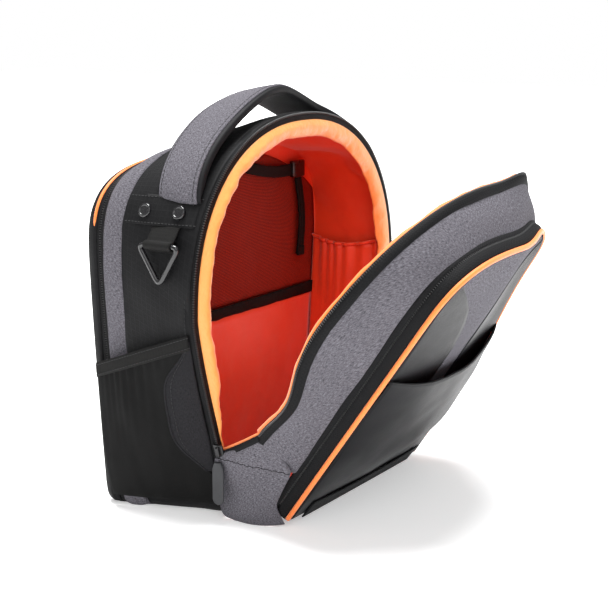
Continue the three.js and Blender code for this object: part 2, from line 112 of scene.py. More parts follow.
def ring_at(flat, y):
    """An (x, z) outline as points at depth y."""
    return np.column_stack([flat[:, 0], np.full(len(flat), float(y)), flat[:, 1]])


def closing_rings(ring, centre, shares, y):
    """Smaller copies of a ring around a centre, which close it at depth y."""
    rings = centre + (ring - centre) * np.asarray(shares)[:, None, None]
    rings[..., 1] = y
    return rings


def surface(point, us, vs):
    """A grid of point(u, v), with one row for each v."""
    return np.array([[point(u, v) for u in us] for v in vs])


def node_box(node):
    """Low and high corner of a CAD node in the layout frame."""
    return [np.array(corner) / MM - [0, RIM_Y, 0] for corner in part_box(node)]


def sideways(side, count):
    return np.tile([side * 1.0, 0.0, 0.0], (count, 1))


def between(a, b, t):
    return Profile(*(x + (y - x) * t for x, y in zip(a, b)))


def shrunk(p, d):
    return p._replace(half=p.half - d, foot=p.foot - d, top=p.top - d, bottom=p.bottom + d)


def body_profile(y):
    p = between(RIM, REAR, y / BODY_DEPTH)
    return p._replace(top=p.top + 4 * math.sin(math.pi * min(max(y, 0), BODY_DEPTH) / BODY_DEPTH))


def side_half(p, z):
    rise = np.clip((np.asarray(z, float) - p.bottom) / (p.spring - p.bottom), 0, 1)
    return p.foot + (p.half - p.foot) * (1 - (1 - rise) ** SIDE_POWER)


def skin_x(y, z):
    """Half width of the body's skin at depth y and height z."""
    p = body_profile(y)
    if z <= p.spring:
        return float(side_half(p, z))
    rise = min((z - p.spring) / (p.top - p.spring), 1)
    return p.half * (1 - rise**p.power) ** (1 / p.power)


def half_arch(p, from_z, side_steps=26, arch_steps=44):
    z = np.linspace(from_z, p.spring, side_steps, endpoint=False)
    side = np.column_stack([side_half(p, z), z])
    angle = np.linspace(0, math.pi / 2, arch_steps + 1)
    x = p.half * np.clip(np.cos(angle), 0, 1) ** (2 / p.power)
    x[-1] = 0
    dome = np.column_stack([x, p.spring + (p.top - p.spring) * np.sin(angle) ** (2 / p.power)])
    return np.vstack([side, dome])


def with_mirror(right, skip_first):
    left = right[::-1][1:] * [-1, 1]
    return np.vstack([right, left[:-1] if skip_first else left])


def arch(p, from_z):
    """Open outline from the right foot over the top to the left foot, as (x, z)."""
    return with_mirror(half_arch(p, from_z), False)


def loop(p):
    """Closed outline from the bottom centre round to the right."""
    flat = np.column_stack([np.linspace(0, p.foot - p.corner, 12, endpoint=False), np.full(12, p.bottom)])
    t = np.linspace(0, 1, 7)[:-1, None]
    rise = p.bottom + p.corner
    start, bend, end = (
        np.array(q, float)
        for q in ((p.foot - p.corner, p.bottom), (p.foot, p.bottom), (side_half(p, rise), rise))
    )
    corner = curve(start, bend, end, t)
    return with_mirror(np.vstack([flat, corner, half_arch(p, rise)]), True)


def raised(p, z):
    return p._replace(bottom=z, foot=float(side_half(p, z)), corner=3)


FLAP_START_Z = 92
FLAP_RIM = raised(RIM, FLAP_START_Z)
FLAP_FRONT = raised(BAND, 76)
FLAP_BOW = 12  # how far the free rim stands forward, most at BOW_Z
BOW_Z = 143
BOW_SPREAD = 37
FLAP_CURL = 15  # how far the top right corner curls back
FLAP_TIP = 11  # how far the rim's tip rises, at TIP_X
TIP_X = 56
TIP_SPREAD = 27


def flap_profile(y):
    return between(FLAP_RIM, FLAP_FRONT, y / BAND_Y)


# ---------- Placing ----------
def as_built(points):
    return points


def opened(points):
    """Opens points laid out on the closed flap, whose top right corner curls back."""
    out = np.array(points, float)
    corner = smooth_step(out[..., 0] / 85) * smooth_step((out[..., 2] - 110) / 150)
    out[..., 1] += FLAP_CURL * np.clip(out[..., 1] / FRONT_Y, 0, 1) * corner
    y, z = out[..., 1] - HINGE_Y, out[..., 2] - HINGE_Z
    out[..., 1] = HINGE_Y + y * math.cos(OPEN_ANGLE) - z * math.sin(OPEN_ANGLE)
    out[..., 2] = HINGE_Z + y * math.sin(OPEN_ANGLE) + z * math.cos(OPEN_ANGLE)
    return out


def flap_opened(points):
    """Opens the flap's soft wall, whose free rim stands a little forward halfway up each side."""
    out = np.array(points, float)
    share = np.clip(1 - out[..., 1] / BAND_Y, 0, 1)
    out[..., 1] -= FLAP_BOW * share * np.exp(-(((out[..., 2] - BOW_Z) / BOW_SPREAD) ** 2))
    tip = np.exp(-(((out[..., 0] - TIP_X) / TIP_SPREAD) ** 2)) * np.clip((out[..., 2] - 270) / 30, 0, 1)
    out[..., 2] += FLAP_TIP * tip * share**2
    return opened(out)


ON_FLAP = {"place": opened, "body": "front_flap"}
ON_SOFT_WALL = {"place": flap_opened, "body": "front_flap"}
ON_COVER = {"place": opened, "body": "organizer_cover"}


def noise_at(points, size, seed=0, octaves=2):
    """Smooth noise between about -1 and 1; size is its wavelength in mm, one value or one per axis."""
    flat = np.asarray(points, float).reshape(-1, 3) / np.asarray(size, float)
    offset = Vector((seed * 17.3, seed * 5.1, seed * 9.7))
    values = []
    for p in flat:
        v, total, gain = Vector(p) + offset, 0.0, 1.0
        for _ in range(octaves):
            total += gain * noise.noise(v)
            v, gain = v * 2.03, gain * 0.5
        values.append(total)
    return np.array(values).reshape(np.asarray(points).shape[:-1])


def noise_along(lengths, size, seed):
    """Smooth noise along a path, from the arc lengths of its points."""
    return noise_at(lengths[:, None] * [1, 0, 0], size, seed)


def pulled_in(grid, centre, amount):
    """Moves a grid toward the line through centre that runs in depth."""
    inward = centre - grid
    inward[..., 1] = 0
    inward /= np.maximum(np.linalg.norm(inward, axis=-1, keepdims=True), 1e-6)
    return grid + inward * amount[..., None]


# ---------- Meshes ----------
def grid_normals(grid, wrap):
    rows = np.gradient(grid, axis=0)
    if wrap:
        cols = np.roll(grid, -1, axis=1) - np.roll(grid, 1, axis=1)
    else:
        cols = np.gradient(grid, axis=1)
    n = np.cross(rows, cols)
    return n / np.maximum(np.linalg.norm(n, axis=-1, keepdims=True), 1e-9)


def arc_lengths(points, closed=False):
    steps = np.linalg.norm(np.diff(points, axis=0), axis=1)
    if closed:
        steps = np.append(steps, np.linalg.norm(points[0] - points[-1]))
    return np.concatenate([[0], np.cumsum(steps)])


def mesh_object(name, verts, faces, uvs, material, body="root", slot=None, replaces=()):
    """A piece from points in the layout frame. uvs holds one (u, v) in mm for each face corner.
    A piece rides on the body unless told otherwise; its slot is looked up but not given to the piece."""
    verts = (np.asarray(verts, float).reshape(-1, 3) + [0, RIM_Y, 0]) * MM
    mesh = bpy.data.meshes.new(name)
    mesh.from_pydata(verts.tolist(), [], faces)
    layer = mesh.uv_layers.new(name="UVMap")
    layer.data.foreach_set("uv", (np.asarray(uvs, float) * MM).ravel())
    mesh.polygons.foreach_set("use_smooth", [True] * len(mesh.polygons))
    mesh.materials.append(material)
    mesh.update()
    obj = bpy.data.objects.new(name, mesh)
    bpy.context.scene.collection.objects.link(obj)
    if body:
        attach(obj, body)
    slot or USUAL_SLOT[material.name]
    if replaces:
        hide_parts(*replaces)
    return obj


def facing_out(verts, faces):
    v = verts[np.array([f[:3] for f in faces])]
    return np.einsum(
        "ij,ij->i", v[:, 0] - verts.mean(0), np.cross(v[:, 1] - v[:, 0], v[:, 2] - v[:, 0])
    ).sum() > 0


FLOOR_GAP = 0.1  # how far cloth is kept above the floor
NARROWEST_SHEET = 12  # narrower cloth is a zip tape, binding or edge
LARGEST_AREA = 0.999  # share of the flat rectangle that a cut may fill


def flat_cut(grid, wrap):
    """Width, length and area in metres of the cloth that a grid shows."""
    width = max(arc_lengths(row, wrap)[-1] for row in grid)
    length = max(arc_lengths(column)[-1] for column in grid.transpose(1, 0, 2))
    closed = np.concatenate([grid, grid[:, :1]], axis=1) if wrap else grid
    a, b, c, d = closed[:-1, :-1], closed[1:, :-1], closed[1:, 1:], closed[:-1, 1:]
    area = np.linalg.norm(np.cross(c - a, d - b), axis=-1).sum() / 2
    return width * MM, length * MM, area * MM * MM


def sheet(
    name, grid, thick, finish, wrap=False, place=as_built, flip=False, fill=None, held="stretched", **put
):
    """Cloth of the given thickness: grid is its outer face, and flip turns the inner face over.
    fill only skips measuring the flat cut, and held is not used."""
    rows, cols, _ = grid.shape
    normals = grid_normals(grid, wrap) * (-1 if flip else 1)
    inner = grid - normals * thick
    verts = place(np.concatenate([grid.reshape(-1, 3), inner.reshape(-1, 3)]))
    verts[:, 2] = np.maximum(verts[:, 2], FLOOR_GAP)
    u = arc_lengths(grid[rows // 2], wrap)
    v = arc_lengths(grid[:, cols // 2])
    faces, uvs = [], []
    count = rows * cols

    def quad(corners, places, turned):
        order = slice(None, None, -1) if turned else slice(None)
        faces.append(corners[order])
        uvs.extend(places[order])

    for r in range(rows - 1):
        for c in range(cols if wrap else cols - 1):
            d = (c + 1) % cols
            corners = [r * cols + c, (r + 1) * cols + c, (r + 1) * cols + d, r * cols + d]
            places = [(u[c], v[r]), (u[c], v[r + 1]), (u[c + 1], v[r + 1]), (u[c + 1], v[r])]
            quad(corners, places, flip)
            quad([k + count for k in corners], places, not flip)
    for r, turned in ((0, False), (rows - 1, True)):
        for c in range(cols if wrap else cols - 1):
            d = (c + 1) % cols
            corners = [r * cols + c, r * cols + d, r * cols + d + count, r * cols + c + count]
            places = [(u[c], 0), (u[c + 1], 0), (u[c + 1], thick), (u[c], thick)]
            quad(corners, places, turned != flip)
    if not wrap:
        for c, turned in ((0, True), (cols - 1, False)):
            for r in range(rows - 1):
                corners = [r * cols + c, (r + 1) * cols + c, (r + 1) * cols + c + count, r * cols + c + count]
                places = [(0, v[r]), (0, v[r + 1]), (thick, v[r + 1]), (thick, v[r])]
                quad(corners, places, turned != flip)
    piece = mesh_object(name, verts, faces, uvs, finish, **put)
    if fill is not None:
        return piece
    width, length, area = flat_cut(grid, wrap)
    if min(width, length) < NARROWEST_SHEET * MM:
        return piece
    width, length = round(width, 3), round(length, 3)
    return (piece, min(area, LARGEST_AREA * width * length))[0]


def ribbon(points, outs, section):
    """Grid of a section swept along a path. section gives (out, depth) pairs, or one list for each point."""
    section = np.asarray(section, float)
    if section.ndim == 2:
        section = np.repeat(section[None], len(points), axis=0)
    return points[:, None] + outs[:, None] * section[..., :1] + Y_AXIS * section[..., 1:]


def closed_sweep(name, grid, finish, place=as_built, ring=False, **put):
    """A solid from closed sections in order; ring joins the last section to the first."""
    rows, cols, _ = grid.shape
    verts = grid.reshape(-1, 3)
    u = arc_lengths(grid[0], True)
    v = arc_lengths(grid[:, 0], ring)
    faces, uvs = [], []
    for r in range(rows if ring else rows - 1):
        s = (r + 1) % rows
        for c in range(cols):
            d = (c + 1) % cols
            faces.append([r * cols + c, r * cols + d, s * cols + d, s * cols + c])
            uvs.extend([(u[c], v[r]), (u[c + 1], v[r]), (u[c + 1], v[r + 1]), (u[c], v[r + 1])])
    if not ring:
        faces.append(list(range(cols))[::-1])
        faces.append([(rows - 1) * cols + c for c in range(cols)])
        uvs.extend([(u[c], 0) for c in range(cols)] * 2)
    if not facing_out(verts, faces):
        faces = [f[::-1] for f in faces]
        starts = np.cumsum([0] + [len(f) for f in faces])
        uvs = [uv for a, b in zip(starts, starts[1:]) for uv in uvs[a:b][::-1]]
    return mesh_object(name, place(verts), faces, uvs, finish, **put)


def oval(width, height, power=2.0, count=20, centre=(0, 0)):
    angle = np.linspace(0, 2 * math.pi, count, endpoint=False)
    c, s = np.cos(angle), np.sin(angle)
    x = width / 2 * np.sign(c) * np.abs(c) ** (2 / power) + centre[0]
    return np.column_stack([x, height / 2 * np.sign(s) * np.abs(s) ** (2 / power) + centre[1]])


def resampled(points, step):
    """Points an even step apart along an open path."""
    lengths = arc_lengths(points)
    at = np.linspace(0, lengths[-1], max(int(round(lengths[-1] / step)), 2) + 1)
    return np.column_stack([np.interp(at, lengths, points[:, k]) for k in range(points.shape[1])])


def arch_frame(p, y, from_z, step=3.0):
    """Points along an arch at depth y, and the direction out of the bag at each."""
    flat = resampled(arch(p, from_z), step)
    along = np.gradient(flat, axis=0)
    along /= np.linalg.norm(along, axis=1, keepdims=True)
    outs = np.column_stack([along[:, 1], np.zeros(len(flat)), -along[:, 0]])
    return ring_at(flat, y), outs


def blocks(name, centres, axes, size, finish, place=as_built, **put):
    """Small rounded blocks, such as zip teeth or stitches. axes holds three directions for each block."""
    shape = np.array(
        [(x, y, z) for x in (-1, -0.6, 0.6, 1) for y, z in ((-1, 0), (0, -1), (1, 0), (0, 1))], float
    )
    ends = np.abs(shape[:, 0]) == 1
    shape[ends, 1:] *= 0.55
    shape *= np.asarray(size, float) / 2
    local = np.einsum("kj,njd->nkd", shape, axes)
    verts = place((centres[:, None] + local).reshape(-1, 3))
    one = [[0, 1, 2, 3], [15, 14, 13, 12]]
    for s in range(3):
        one += [[s * 4 + a, s * 4 + 4 + a, s * 4 + 4 + (a + 1) % 4, s * 4 + (a + 1) % 4] for a in range(4)]
    faces = [[k + 16 * n for k in f] for n in range(len(centres)) for f in one]
    return mesh_object(name, verts, faces, np.zeros((4 * len(faces), 2)), finish, **put)


def along_axes(points, outs):
    """For each point: the way along the path, the way out, and the direction square to both."""
    along = np.gradient(points, axis=0)
    along /= np.linalg.norm(along, axis=1, keepdims=True)
    across = np.cross(along, outs)
    return np.stack([along, outs, across], axis=1)


def stitches(name, points, outs, finish, pitch=3.6, place=as_built, **put):
    """A row of sewn stitches along a path, standing a little proud of the cloth."""
    joined = resampled(np.hstack([points, outs]), pitch)
    points, outs = joined[:, :3], joined[:, 3:]
    size = (pitch * 0.72, 0.5, 0.6)
    return blocks(name, points, along_axes(points, outs), size, finish, place, **put)


def bevelled(name, size, centre, bevel, finish, turn=0.0, **put):
    """A block with rounded edges, turned about Y."""
    bm = bmesh.new()
    bmesh.ops.create_cube(bm, size=1)
    bmesh.ops.scale(bm, vec=Vector(size), verts=bm.verts)
    bmesh.ops.bevel(bm, geom=bm.edges[:], offset=bevel, segments=3, profile=0.6, affect="EDGES")
    verts = np.array([v.co for v in bm.verts], float)
    faces = [[v.index for v in f.verts] for f in bm.faces]
    bm.free()
    c, s = math.cos(turn), math.sin(turn)
    verts = np.column_stack(
        [verts[:, 0] * c + verts[:, 2] * s, verts[:, 1], verts[:, 2] * c - verts[:, 0] * s]
    )
    place = put.pop("place", as_built)
    uvs = [(verts[k][1], verts[k][2]) for f in faces for k in f]
    return mesh_object(name, place(verts + np.asarray(centre, float)), faces, uvs, finish, **put)


# ---------- Materials ----------
def principled(name, color, roughness, sheen=0.0, coat=0.0, metallic=0.0, specular=0.5):
    material = bpy.data.materials.new(name)
    material.use_nodes = True
    shader = material.node_tree.nodes["Principled BSDF"]
    shader.inputs["Base Color"].default_value = (*color, 1)
    values = {
        "Roughness": roughness, "Metallic": metallic, "Specular IOR Level": specular, "Sheen Weight": sheen,
        "Sheen Roughness": 0.5, "Coat Weight": coat
    }
    for socket, value in values.items():
        shader.inputs[socket].default_value = value
    material.diffuse_color = (*color, 1)
    return material


class Nodes:
    """Short names for the nodes that the materials here use."""

    def __init__(self, material):
        self.tree = material.node_tree
        self.shader = self.tree.nodes["Principled BSDF"]
        self.uv = self.tree.nodes.new("ShaderNodeUVMap").outputs[0]
        self.place = self.tree.nodes.new("ShaderNodeTexCoord").outputs["Object"]

    def link(self, source, target):
        self.tree.links.new(source, target)

    def math(self, operation, a, b=0.0):
        node = self.tree.nodes.new("ShaderNodeMath")
        node.operation = operation
        for socket, value in zip(node.inputs, (a, b)):
            if isinstance(value, (int, float)):
                socket.default_value = value
            else:
                self.link(value, socket)
        return node.outputs[0]

    def times(self, a, b):
        return self.math("MULTIPLY", a, b)

    def axes(self, vector):
        node = self.tree.nodes.new("ShaderNodeSeparateXYZ")
        self.link(vector, node.inputs[0])
        return node.outputs[0], node.outputs[1]

    def stretched(self, vector, scale, turn=0.0):
        node = self.tree.nodes.new("ShaderNodeMapping")
        node.inputs["Scale"].default_value = scale
        node.inputs["Rotation"].default_value = (0, 0, turn)
        self.link(vector, node.inputs[0])
        return node.outputs[0]

    def noise(self, vector, scale, detail=3.0, rough=0.6):
        node = self.tree.nodes.new("ShaderNodeTexNoise")
        node.inputs["Scale"].default_value = scale
        node.inputs["Detail"].default_value = detail
        node.inputs["Roughness"].default_value = rough
        self.link(vector, node.inputs["Vector"])
        return node.outputs[0]

    def wave(self, coordinate, pitch_mm):
        return self.math("SINE", self.times(coordinate, 2 * math.pi / (pitch_mm * MM)))

    def ramp(self, value, stops):
        node = self.tree.nodes.new("ShaderNodeValToRGB")
        elements = node.color_ramp.elements
        while len(elements) < len(stops):
            elements.new(0.5)
        for element, (position, color) in zip(elements, stops):
            element.position = position
            element.color = (*color, 1)
        self.link(value, node.inputs[0])
        return node.outputs[0]

    def mix(self, factor, a, b, mode="MIX"):
        node = self.tree.nodes.new("ShaderNodeMix")
        node.data_type = "RGBA"
        node.blend_type = mode
        for socket, value in ((node.inputs[0], factor), (node.inputs[6], a), (node.inputs[7], b)):
            if isinstance(value, (int, float)):
                socket.default_value = value
            elif isinstance(value, tuple):
                socket.default_value = (*value, 1)
            else:
                self.link(value, socket)
        return node.outputs[2]

    def color(self, value):
        self.link(value, self.shader.inputs["Base Color"])

    def roughness(self, value, low, high):
        node = self.tree.nodes.new("ShaderNodeMapRange")
        node.inputs["To Min"].default_value = low
        node.inputs["To Max"].default_value = high
        self.link(value, node.inputs[0])
        self.link(node.outputs[0], self.shader.inputs["Roughness"])

    def bump(self, height, depth_mm, strength=1.0, under=None):
        node = self.tree.nodes.new("ShaderNodeBump")
        node.inputs["Strength"].default_value = strength
        node.inputs["Distance"].default_value = depth_mm * MM
        self.link(height, node.inputs["Height"])
        if under is not None:
            self.link(under, node.inputs["Normal"])
        self.link(node.outputs[0], self.shader.inputs["Normal"])
        return node.outputs[0]


def plain_weave(n, pitch):
    u, v = n.axes(n.uv)
    return n.times(n.wave(u, pitch), n.wave(v, pitch))


def heather_cloth(name, dark, light):
    """Two-tone yarns: short light and dark flecks that run both ways through the weave."""
    material = principled(name, light, 0.9, specular=0.2)
    n = Nodes(material)
    upright = n.noise(n.stretched(n.uv, (1500, 420, 1)), 1.0, 2.0, 0.7)
    level = n.noise(n.stretched(n.uv, (420, 1500, 1)), 1.0, 2.0, 0.7)
    fleck = n.math("ADD", n.times(upright, 0.6), n.times(level, 0.4))
    patchy = n.noise(n.place, 28.0, 2.0)
    base = n.ramp(
        fleck, [(0.36, dark), (0.5, tuple((a + b) / 2 for a, b in zip(dark, light))), (0.64, light)]
    )
    n.color(n.mix(n.times(patchy, 0.25), base, dark))
    under = n.bump(fleck, 0.25, 0.5)
    n.bump(plain_weave(n, 0.9), 0.08, 0.5, under)
    return material


def ripstop(name, color, roughness=0.62):
    """Fine nylon with a raised grid of thicker yarns."""
    material = principled(name, color, roughness, specular=0.15)
    n = Nodes(material)
    u, v = n.axes(n.uv)
    grid = n.math(
        "MAXIMUM", n.math("POWER", n.math("ABSOLUTE", n.wave(u, 10)), 24.0),
        n.math("POWER", n.math("ABSOLUTE", n.wave(v, 10)), 24.0)
    )
    cloud = n.noise(n.place, 45.0, 3.0)
    fine = n.noise(n.stretched(n.uv, (1300, 1300, 1)), 1.0, 1.0)
    lighter = tuple(c * 1.9 + 0.004 for c in color)
    n.color(n.mix(n.math("ADD", n.times(fine, 0.45), n.times(grid, 0.3)), color, lighter))
    n.roughness(cloud, roughness - 0.1, roughness + 0.12)
    under = n.bump(cloud, 0.5, 0.5)
    under = n.bump(grid, 0.12, 0.6, under)
    n.bump(plain_weave(n, 0.8), 0.07, 0.45, under)
    return material


def smooth_nylon(name, color, roughness=0.42):
    material = principled(name, color, roughness, specular=0.14)
    n = Nodes(material)
    u, v = n.axes(n.uv)
    twill = n.wave(n.math("ADD", u, v), 0.9)
    cloud = n.noise(n.place, 30.0, 3.0)
    n.color(n.mix(n.times(cloud, 0.5), color, tuple(c * 1.7 + 0.003 for c in color)))
    n.roughness(cloud, roughness - 0.06, roughness + 0.12)
    under = n.bump(cloud, 0.8, 0.35)
    n.bump(twill, 0.05, 0.4, under)
    return material


def webbing(name, color, roughness=0.7, rib=1.6):
    """Woven tape with ribs across it and a herringbone of yarns."""
    material = principled(name, color, roughness, specular=0.14)
    n = Nodes(material)
    u, v = n.axes(n.uv)
    zigzag = n.times(n.math("ABSOLUTE", n.wave(u, 6)), 0.0012)
    herring = n.wave(n.math("ADD", v, zigzag), rib)
    fuzz = n.noise(n.place, 900.0, 2.0)
    n.color(n.mix(n.times(fuzz, 0.5), color, tuple(c * 2.2 + 0.004 for c in color)))
    n.bump(herring, 0.18, 0.6)
    return material


def open_mesh(name, yarn, behind, pitch=1.8, roughness=0.7):
    """Knitted mesh: round holes in a staggered grid that show the layer behind."""
    material = principled(name, yarn, roughness, specular=0.12)
    n = Nodes(material)
    u, v = n.axes(n.uv)
    holes = n.math("ABSOLUTE", n.times(n.wave(u, pitch), n.wave(v, pitch * 1.25)))
    mask = n.math("GREATER_THAN", holes, 0.42)
    cloud = n.noise(n.place, 60.0, 3.0)
    tone = n.mix(n.times(cloud, 0.5), yarn, tuple(c * 2.0 + 0.004 for c in yarn))
    n.color(n.mix(mask, tone, behind))
    n.bump(n.math("SUBTRACT", 1.0, holes), 0.35, 0.6)
    return material


def satin(name, color, deep, roughness=0.36, crinkle=0.5, crinkle_scale=160.0):
    """Thin shiny lining with fine creases; deep is a painted shade colour, mixed in by broad patches of
    noise.
    """
    material = principled(name, color, roughness, sheen=0.3, specular=0.45)
    n = Nodes(material)
    creases = n.noise(n.place, crinkle_scale, 4.0, 0.62)
    # painted shade: broad patches of noise mix in the deep colour of shaded satin
    shade_patches = n.noise(n.place, 22.0, 2.0)
    n.color(n.mix(n.times(shade_patches, 0.55), color, deep))
    n.roughness(creases, roughness - 0.08, roughness + 0.15)
    under = n.bump(creases, 1.2, crinkle)
    n.bump(plain_weave(n, 0.7), 0.05, 0.4, under)
    return material


def moulded(name, color, roughness, grain=0.25, metallic=0.0, coat=0.0):
    material = principled(name, color, roughness, metallic=metallic, coat=coat)
    n = Nodes(material)
    speck = n.noise(n.place, 1400.0, 3.0)
    wear = n.noise(n.place, 120.0, 3.0)
    n.roughness(wear, max(roughness - 0.1, 0.05), roughness + 0.15)
    n.bump(speck, 0.05, grain)
    return material


HEATHER = heather_cloth("heather_grey", (0.026, 0.024, 0.029), (0.205, 0.195, 0.222))
DARK_HEATHER = heather_cloth("heather_black", (0.004, 0.004, 0.005), (0.022, 0.021, 0.024))
RIPSTOP = ripstop("black_ripstop", (0.003, 0.003, 0.0035))
NYLON = smooth_nylon("black_nylon", (0.0045, 0.0045, 0.0055))
PADDING = smooth_nylon("black_edge", (0.007, 0.007, 0.008), 0.6)
TAPE = webbing("zip_tape", (0.0035, 0.0035, 0.004))
ELASTIC = webbing("elastic_band", (0.006, 0.0058, 0.0056), 0.75, 1.2)
COIL = moulded("zip_coil", (0.030, 0.030, 0.031), 0.38)
THREAD = moulded("black_thread", (0.012, 0.012, 0.013), 0.6)
POCKET_MESH = open_mesh("stretch_mesh", (0.004, 0.004, 0.004), (0.001, 0.001, 0.001), 1.5)
RED_MESH = open_mesh("net_over_satin", (0.035, 0.008, 0.006), (0.42, 0.035, 0.015), 2.2)
SATIN = satin("orange_lining", (0.88, 0.072, 0.012), (0.66, 0.030, 0.006), 0.4, 0.5, 60.0)
APRICOT = satin("apricot_facing", (0.98, 0.40, 0.10), (0.95, 0.30, 0.055), 0.34, 0.9, 190.0)
PIPING = satin("orange_piping", (0.96, 0.235, 0.035), (0.93, 0.17, 0.02), 0.5, 0.2, 400.0)
RUBBER = moulded("rubber_pull", (0.022, 0.023, 0.026), 0.55)
GREY_RUBBER = moulded("grey_rubber", (0.10, 0.105, 0.11), 0.5)
GLOSS = moulded("gloss_plastic", (0.008, 0.008, 0.009), 0.22, 0.1, coat=0.3)
ENAMEL = moulded("black_enamel", (0.008, 0.008, 0.009), 0.34, 0.1, 0.1)
SLOT_FINISHES = {
    "heather": (HEATHER, DARK_HEATHER),
    "black_nylon": (RIPSTOP, NYLON, PADDING),
    "zip_tape": (TAPE, ELASTIC, COIL, THREAD),
    "black_mesh": (POCKET_MESH,),
    "red_mesh": (RED_MESH,),
    "orange_satin": (SATIN,),
    "apricot_satin": (APRICOT,),
    "orange_piping": (PIPING,),
    "plastic": (GLOSS,),
    "dark_metal": (ENAMEL,),
    "rubber_pull": (RUBBER,),
    "grey_cord": (GREY_RUBBER,),
}
USUAL_SLOT = {finish.name: slot for slot, finishes in SLOT_FINISHES.items() for finish in finishes}


# ---------- Camera ----------
CAMERA_AZIMUTH = -57.5
CAMERA_ELEVATION = 12
CAMERA_DISTANCE = 1225
CAMERA_LENS = 82.9
CAMERA_TARGET = (2, RIM_Y, 160)


def add_camera():
    azimuth, elevation = math.radians(CAMERA_AZIMUTH), math.radians(CAMERA_ELEVATION)
    back = Vector(
        (
            math.sin(azimuth) * math.cos(elevation),
            -math.cos(azimuth) * math.cos(elevation),
            math.sin(elevation),
        )
    )
    data = bpy.data.cameras.new("camera")
    data.sensor_width = 36
    data.lens = CAMERA_LENS
    camera = bpy.data.objects.new("camera", data)
    camera.location = Vector(CAMERA_TARGET) * MM + back * (CAMERA_DISTANCE * MM)
    camera.rotation_euler = back.to_track_quat("Z", "Y").to_euler()
    bpy.context.scene.collection.objects.link(camera)
    bpy.context.scene.camera = camera


# ---------- Body ----------
def body_grid(ys, inset=0.0):
    """Closed outlines of the body's skin at several depths, as one grid."""
    return np.array([ring_at(loop(shrunk(body_profile(y), inset)), y) for y in ys])


def soften(grid, wrap, amount, size, seed):
    """Pushes a grid in and out along its normals by smooth noise."""
    return grid + grid_normals(grid, wrap) * (noise_at(grid, size, seed) * amount)[..., None]


def grounded(grid):
    """Keeps a grid of the body's cloth just above the floor."""
    grid[..., 2] = np.maximum(grid[..., 2], 0.3)
    return grid


def build_skin():
    ys = np.linspace(2, 74, 34)
    grid = grounded(soften(body_grid(ys), True, 1.6, (60, 45, 60), 1))
    sheet("side_and_top_cloth", grid, 2.0, RIPSTOP, wrap=True, flip=True, fill=0.8, replaces=["body_shell"])
    ys = np.linspace(73, 92, 12)
    crown = 1.6 * np.sin(math.pi * (ys - 73) / 19)
    grid = np.concatenate([body_grid([y], -0.6 - c) for y, c in zip(ys, crown)])
    grid = grounded(soften(grid, True, 0.8, (40, 40, 40), 2))
    sheet("heather_strip", grid, 2.0, HEATHER, wrap=True, flip=True, fill=0.8, replaces=["rear_gusset"])
    for k, y in enumerate((74.2, 91.0)):
        points, outs = arch_frame(shrunk(body_profile(y), -1.0), y, 16)
        stitches(f"strip_stitches_{k}", points, outs, THREAD)


def zip_teeth(name, profile, y, from_z, out, reach, place=as_built, body="root", pitch=2.0):
    """A row of coil teeth along an arch; reach is how far each spans in depth."""
    points, outs = arch_frame(shrunk(profile, -out), y, from_z, pitch)
    axes = along_axes(points, outs)[:, [2, 1, 0]]
    return blocks(name, points, axes, (reach, 2.2, pitch * 0.62), COIL, place, body=body)


def build_main_zip():
    section = [
        (1.6, 9.5), (1.7, 1.4), (0.9, -0.4), (-0.6, -0.7), (-6.0, -0.7), (-6.2, 0.2), (-0.2, 0.3),
        (0.3, 9.5)
    ]
    points, outs = arch_frame(RIM, 0, APEX_Z)
    closed_sweep("main_zip_tape", ribbon(points, outs, section), TAPE, replaces=["main_zip_band"])
    zip_teeth("main_zip_teeth", RIM, -0.5, APEX_Z + 2, 0.9, 1.7)
    points, outs = arch_frame(shrunk(RIM, -1.8), 7.6, APEX_Z)
    stitches("main_zip_stitches", points, outs, THREAD)


def build_rim_facing():
    """Satin strip sewn inside the zip; it stands a little forward on the camera's left, and ripples."""
    points, outs = arch_frame(RIM, 0, APEX_Z + 1, 2.0)
    lengths = arc_lengths(points)
    width = 17 + 2.2 * noise_along(lengths, 38, 4)[:, None]
    along, share = np.meshgrid(lengths, np.linspace(0, 1, 14), indexing="ij")
    leftward = np.clip(-points[:, :1] / RIM.half, -1, 1)
    taper = np.clip(np.minimum(along, lengths[-1] - along) / 60, 0.25, 1)
    width = width * taper
    forward = (3.2 + 3.2 * leftward) * taper
    flat = np.zeros_like(along)
    ripple = noise_at(np.stack([along, 30 * share, flat], -1), (17, 30, 30), 5)
    fine = noise_at(np.stack([along, 14 * share, flat], -1), (6, 12, 12), 6)
    depth = -forward * np.sin(math.pi * share * 0.75) + 5 * share**3 + share * (2.0 * ripple + 0.8 * fine)
    inset = -(5.0 + (width - 3) * share) + 0.9 * ripple * share
    section = np.stack([inset, depth - 0.4], -1)
    grid = ribbon(points, outs, section)
    sheet("rim_facing_satin", grid, 0.7, APRICOT, held="gathered", replaces=["rim_facing"], flip=True)


def build_lining():
    inset = 3.9
    ys = np.concatenate([np.linspace(4, 78, 30), [80.5, 82]])
    grid = body_grid(ys, inset)
    grid[-1, :, :] = body_grid([81.6], inset + 1.5)[0]
    folds = np.abs(noise_at(grid, (70, 110, 52), 7, 2)) ** 0.8
    high = np.clip((grid[..., 2] - 60) / 120, 0.15, 1)
    deep = np.sin(math.pi * np.clip((grid[..., 1] - 4) / 84, 0, 1)) ** 0.7
    centre = np.array([0, 0, 160.0])
    grid = pulled_in(grid, centre, 9.0 * folds * high * deep)
    back = closing_rings(grid[-1], centre, np.linspace(0.94, 0.001, 14), 82.4)
    back[..., 1] -= 1.2 * np.abs(noise_at(back, 50, 8))
    sheet(
        "compartment_lining", np.concatenate([grid, back]), 0.6, SATIN, wrap=True, replaces=["inner_lining"]
    )


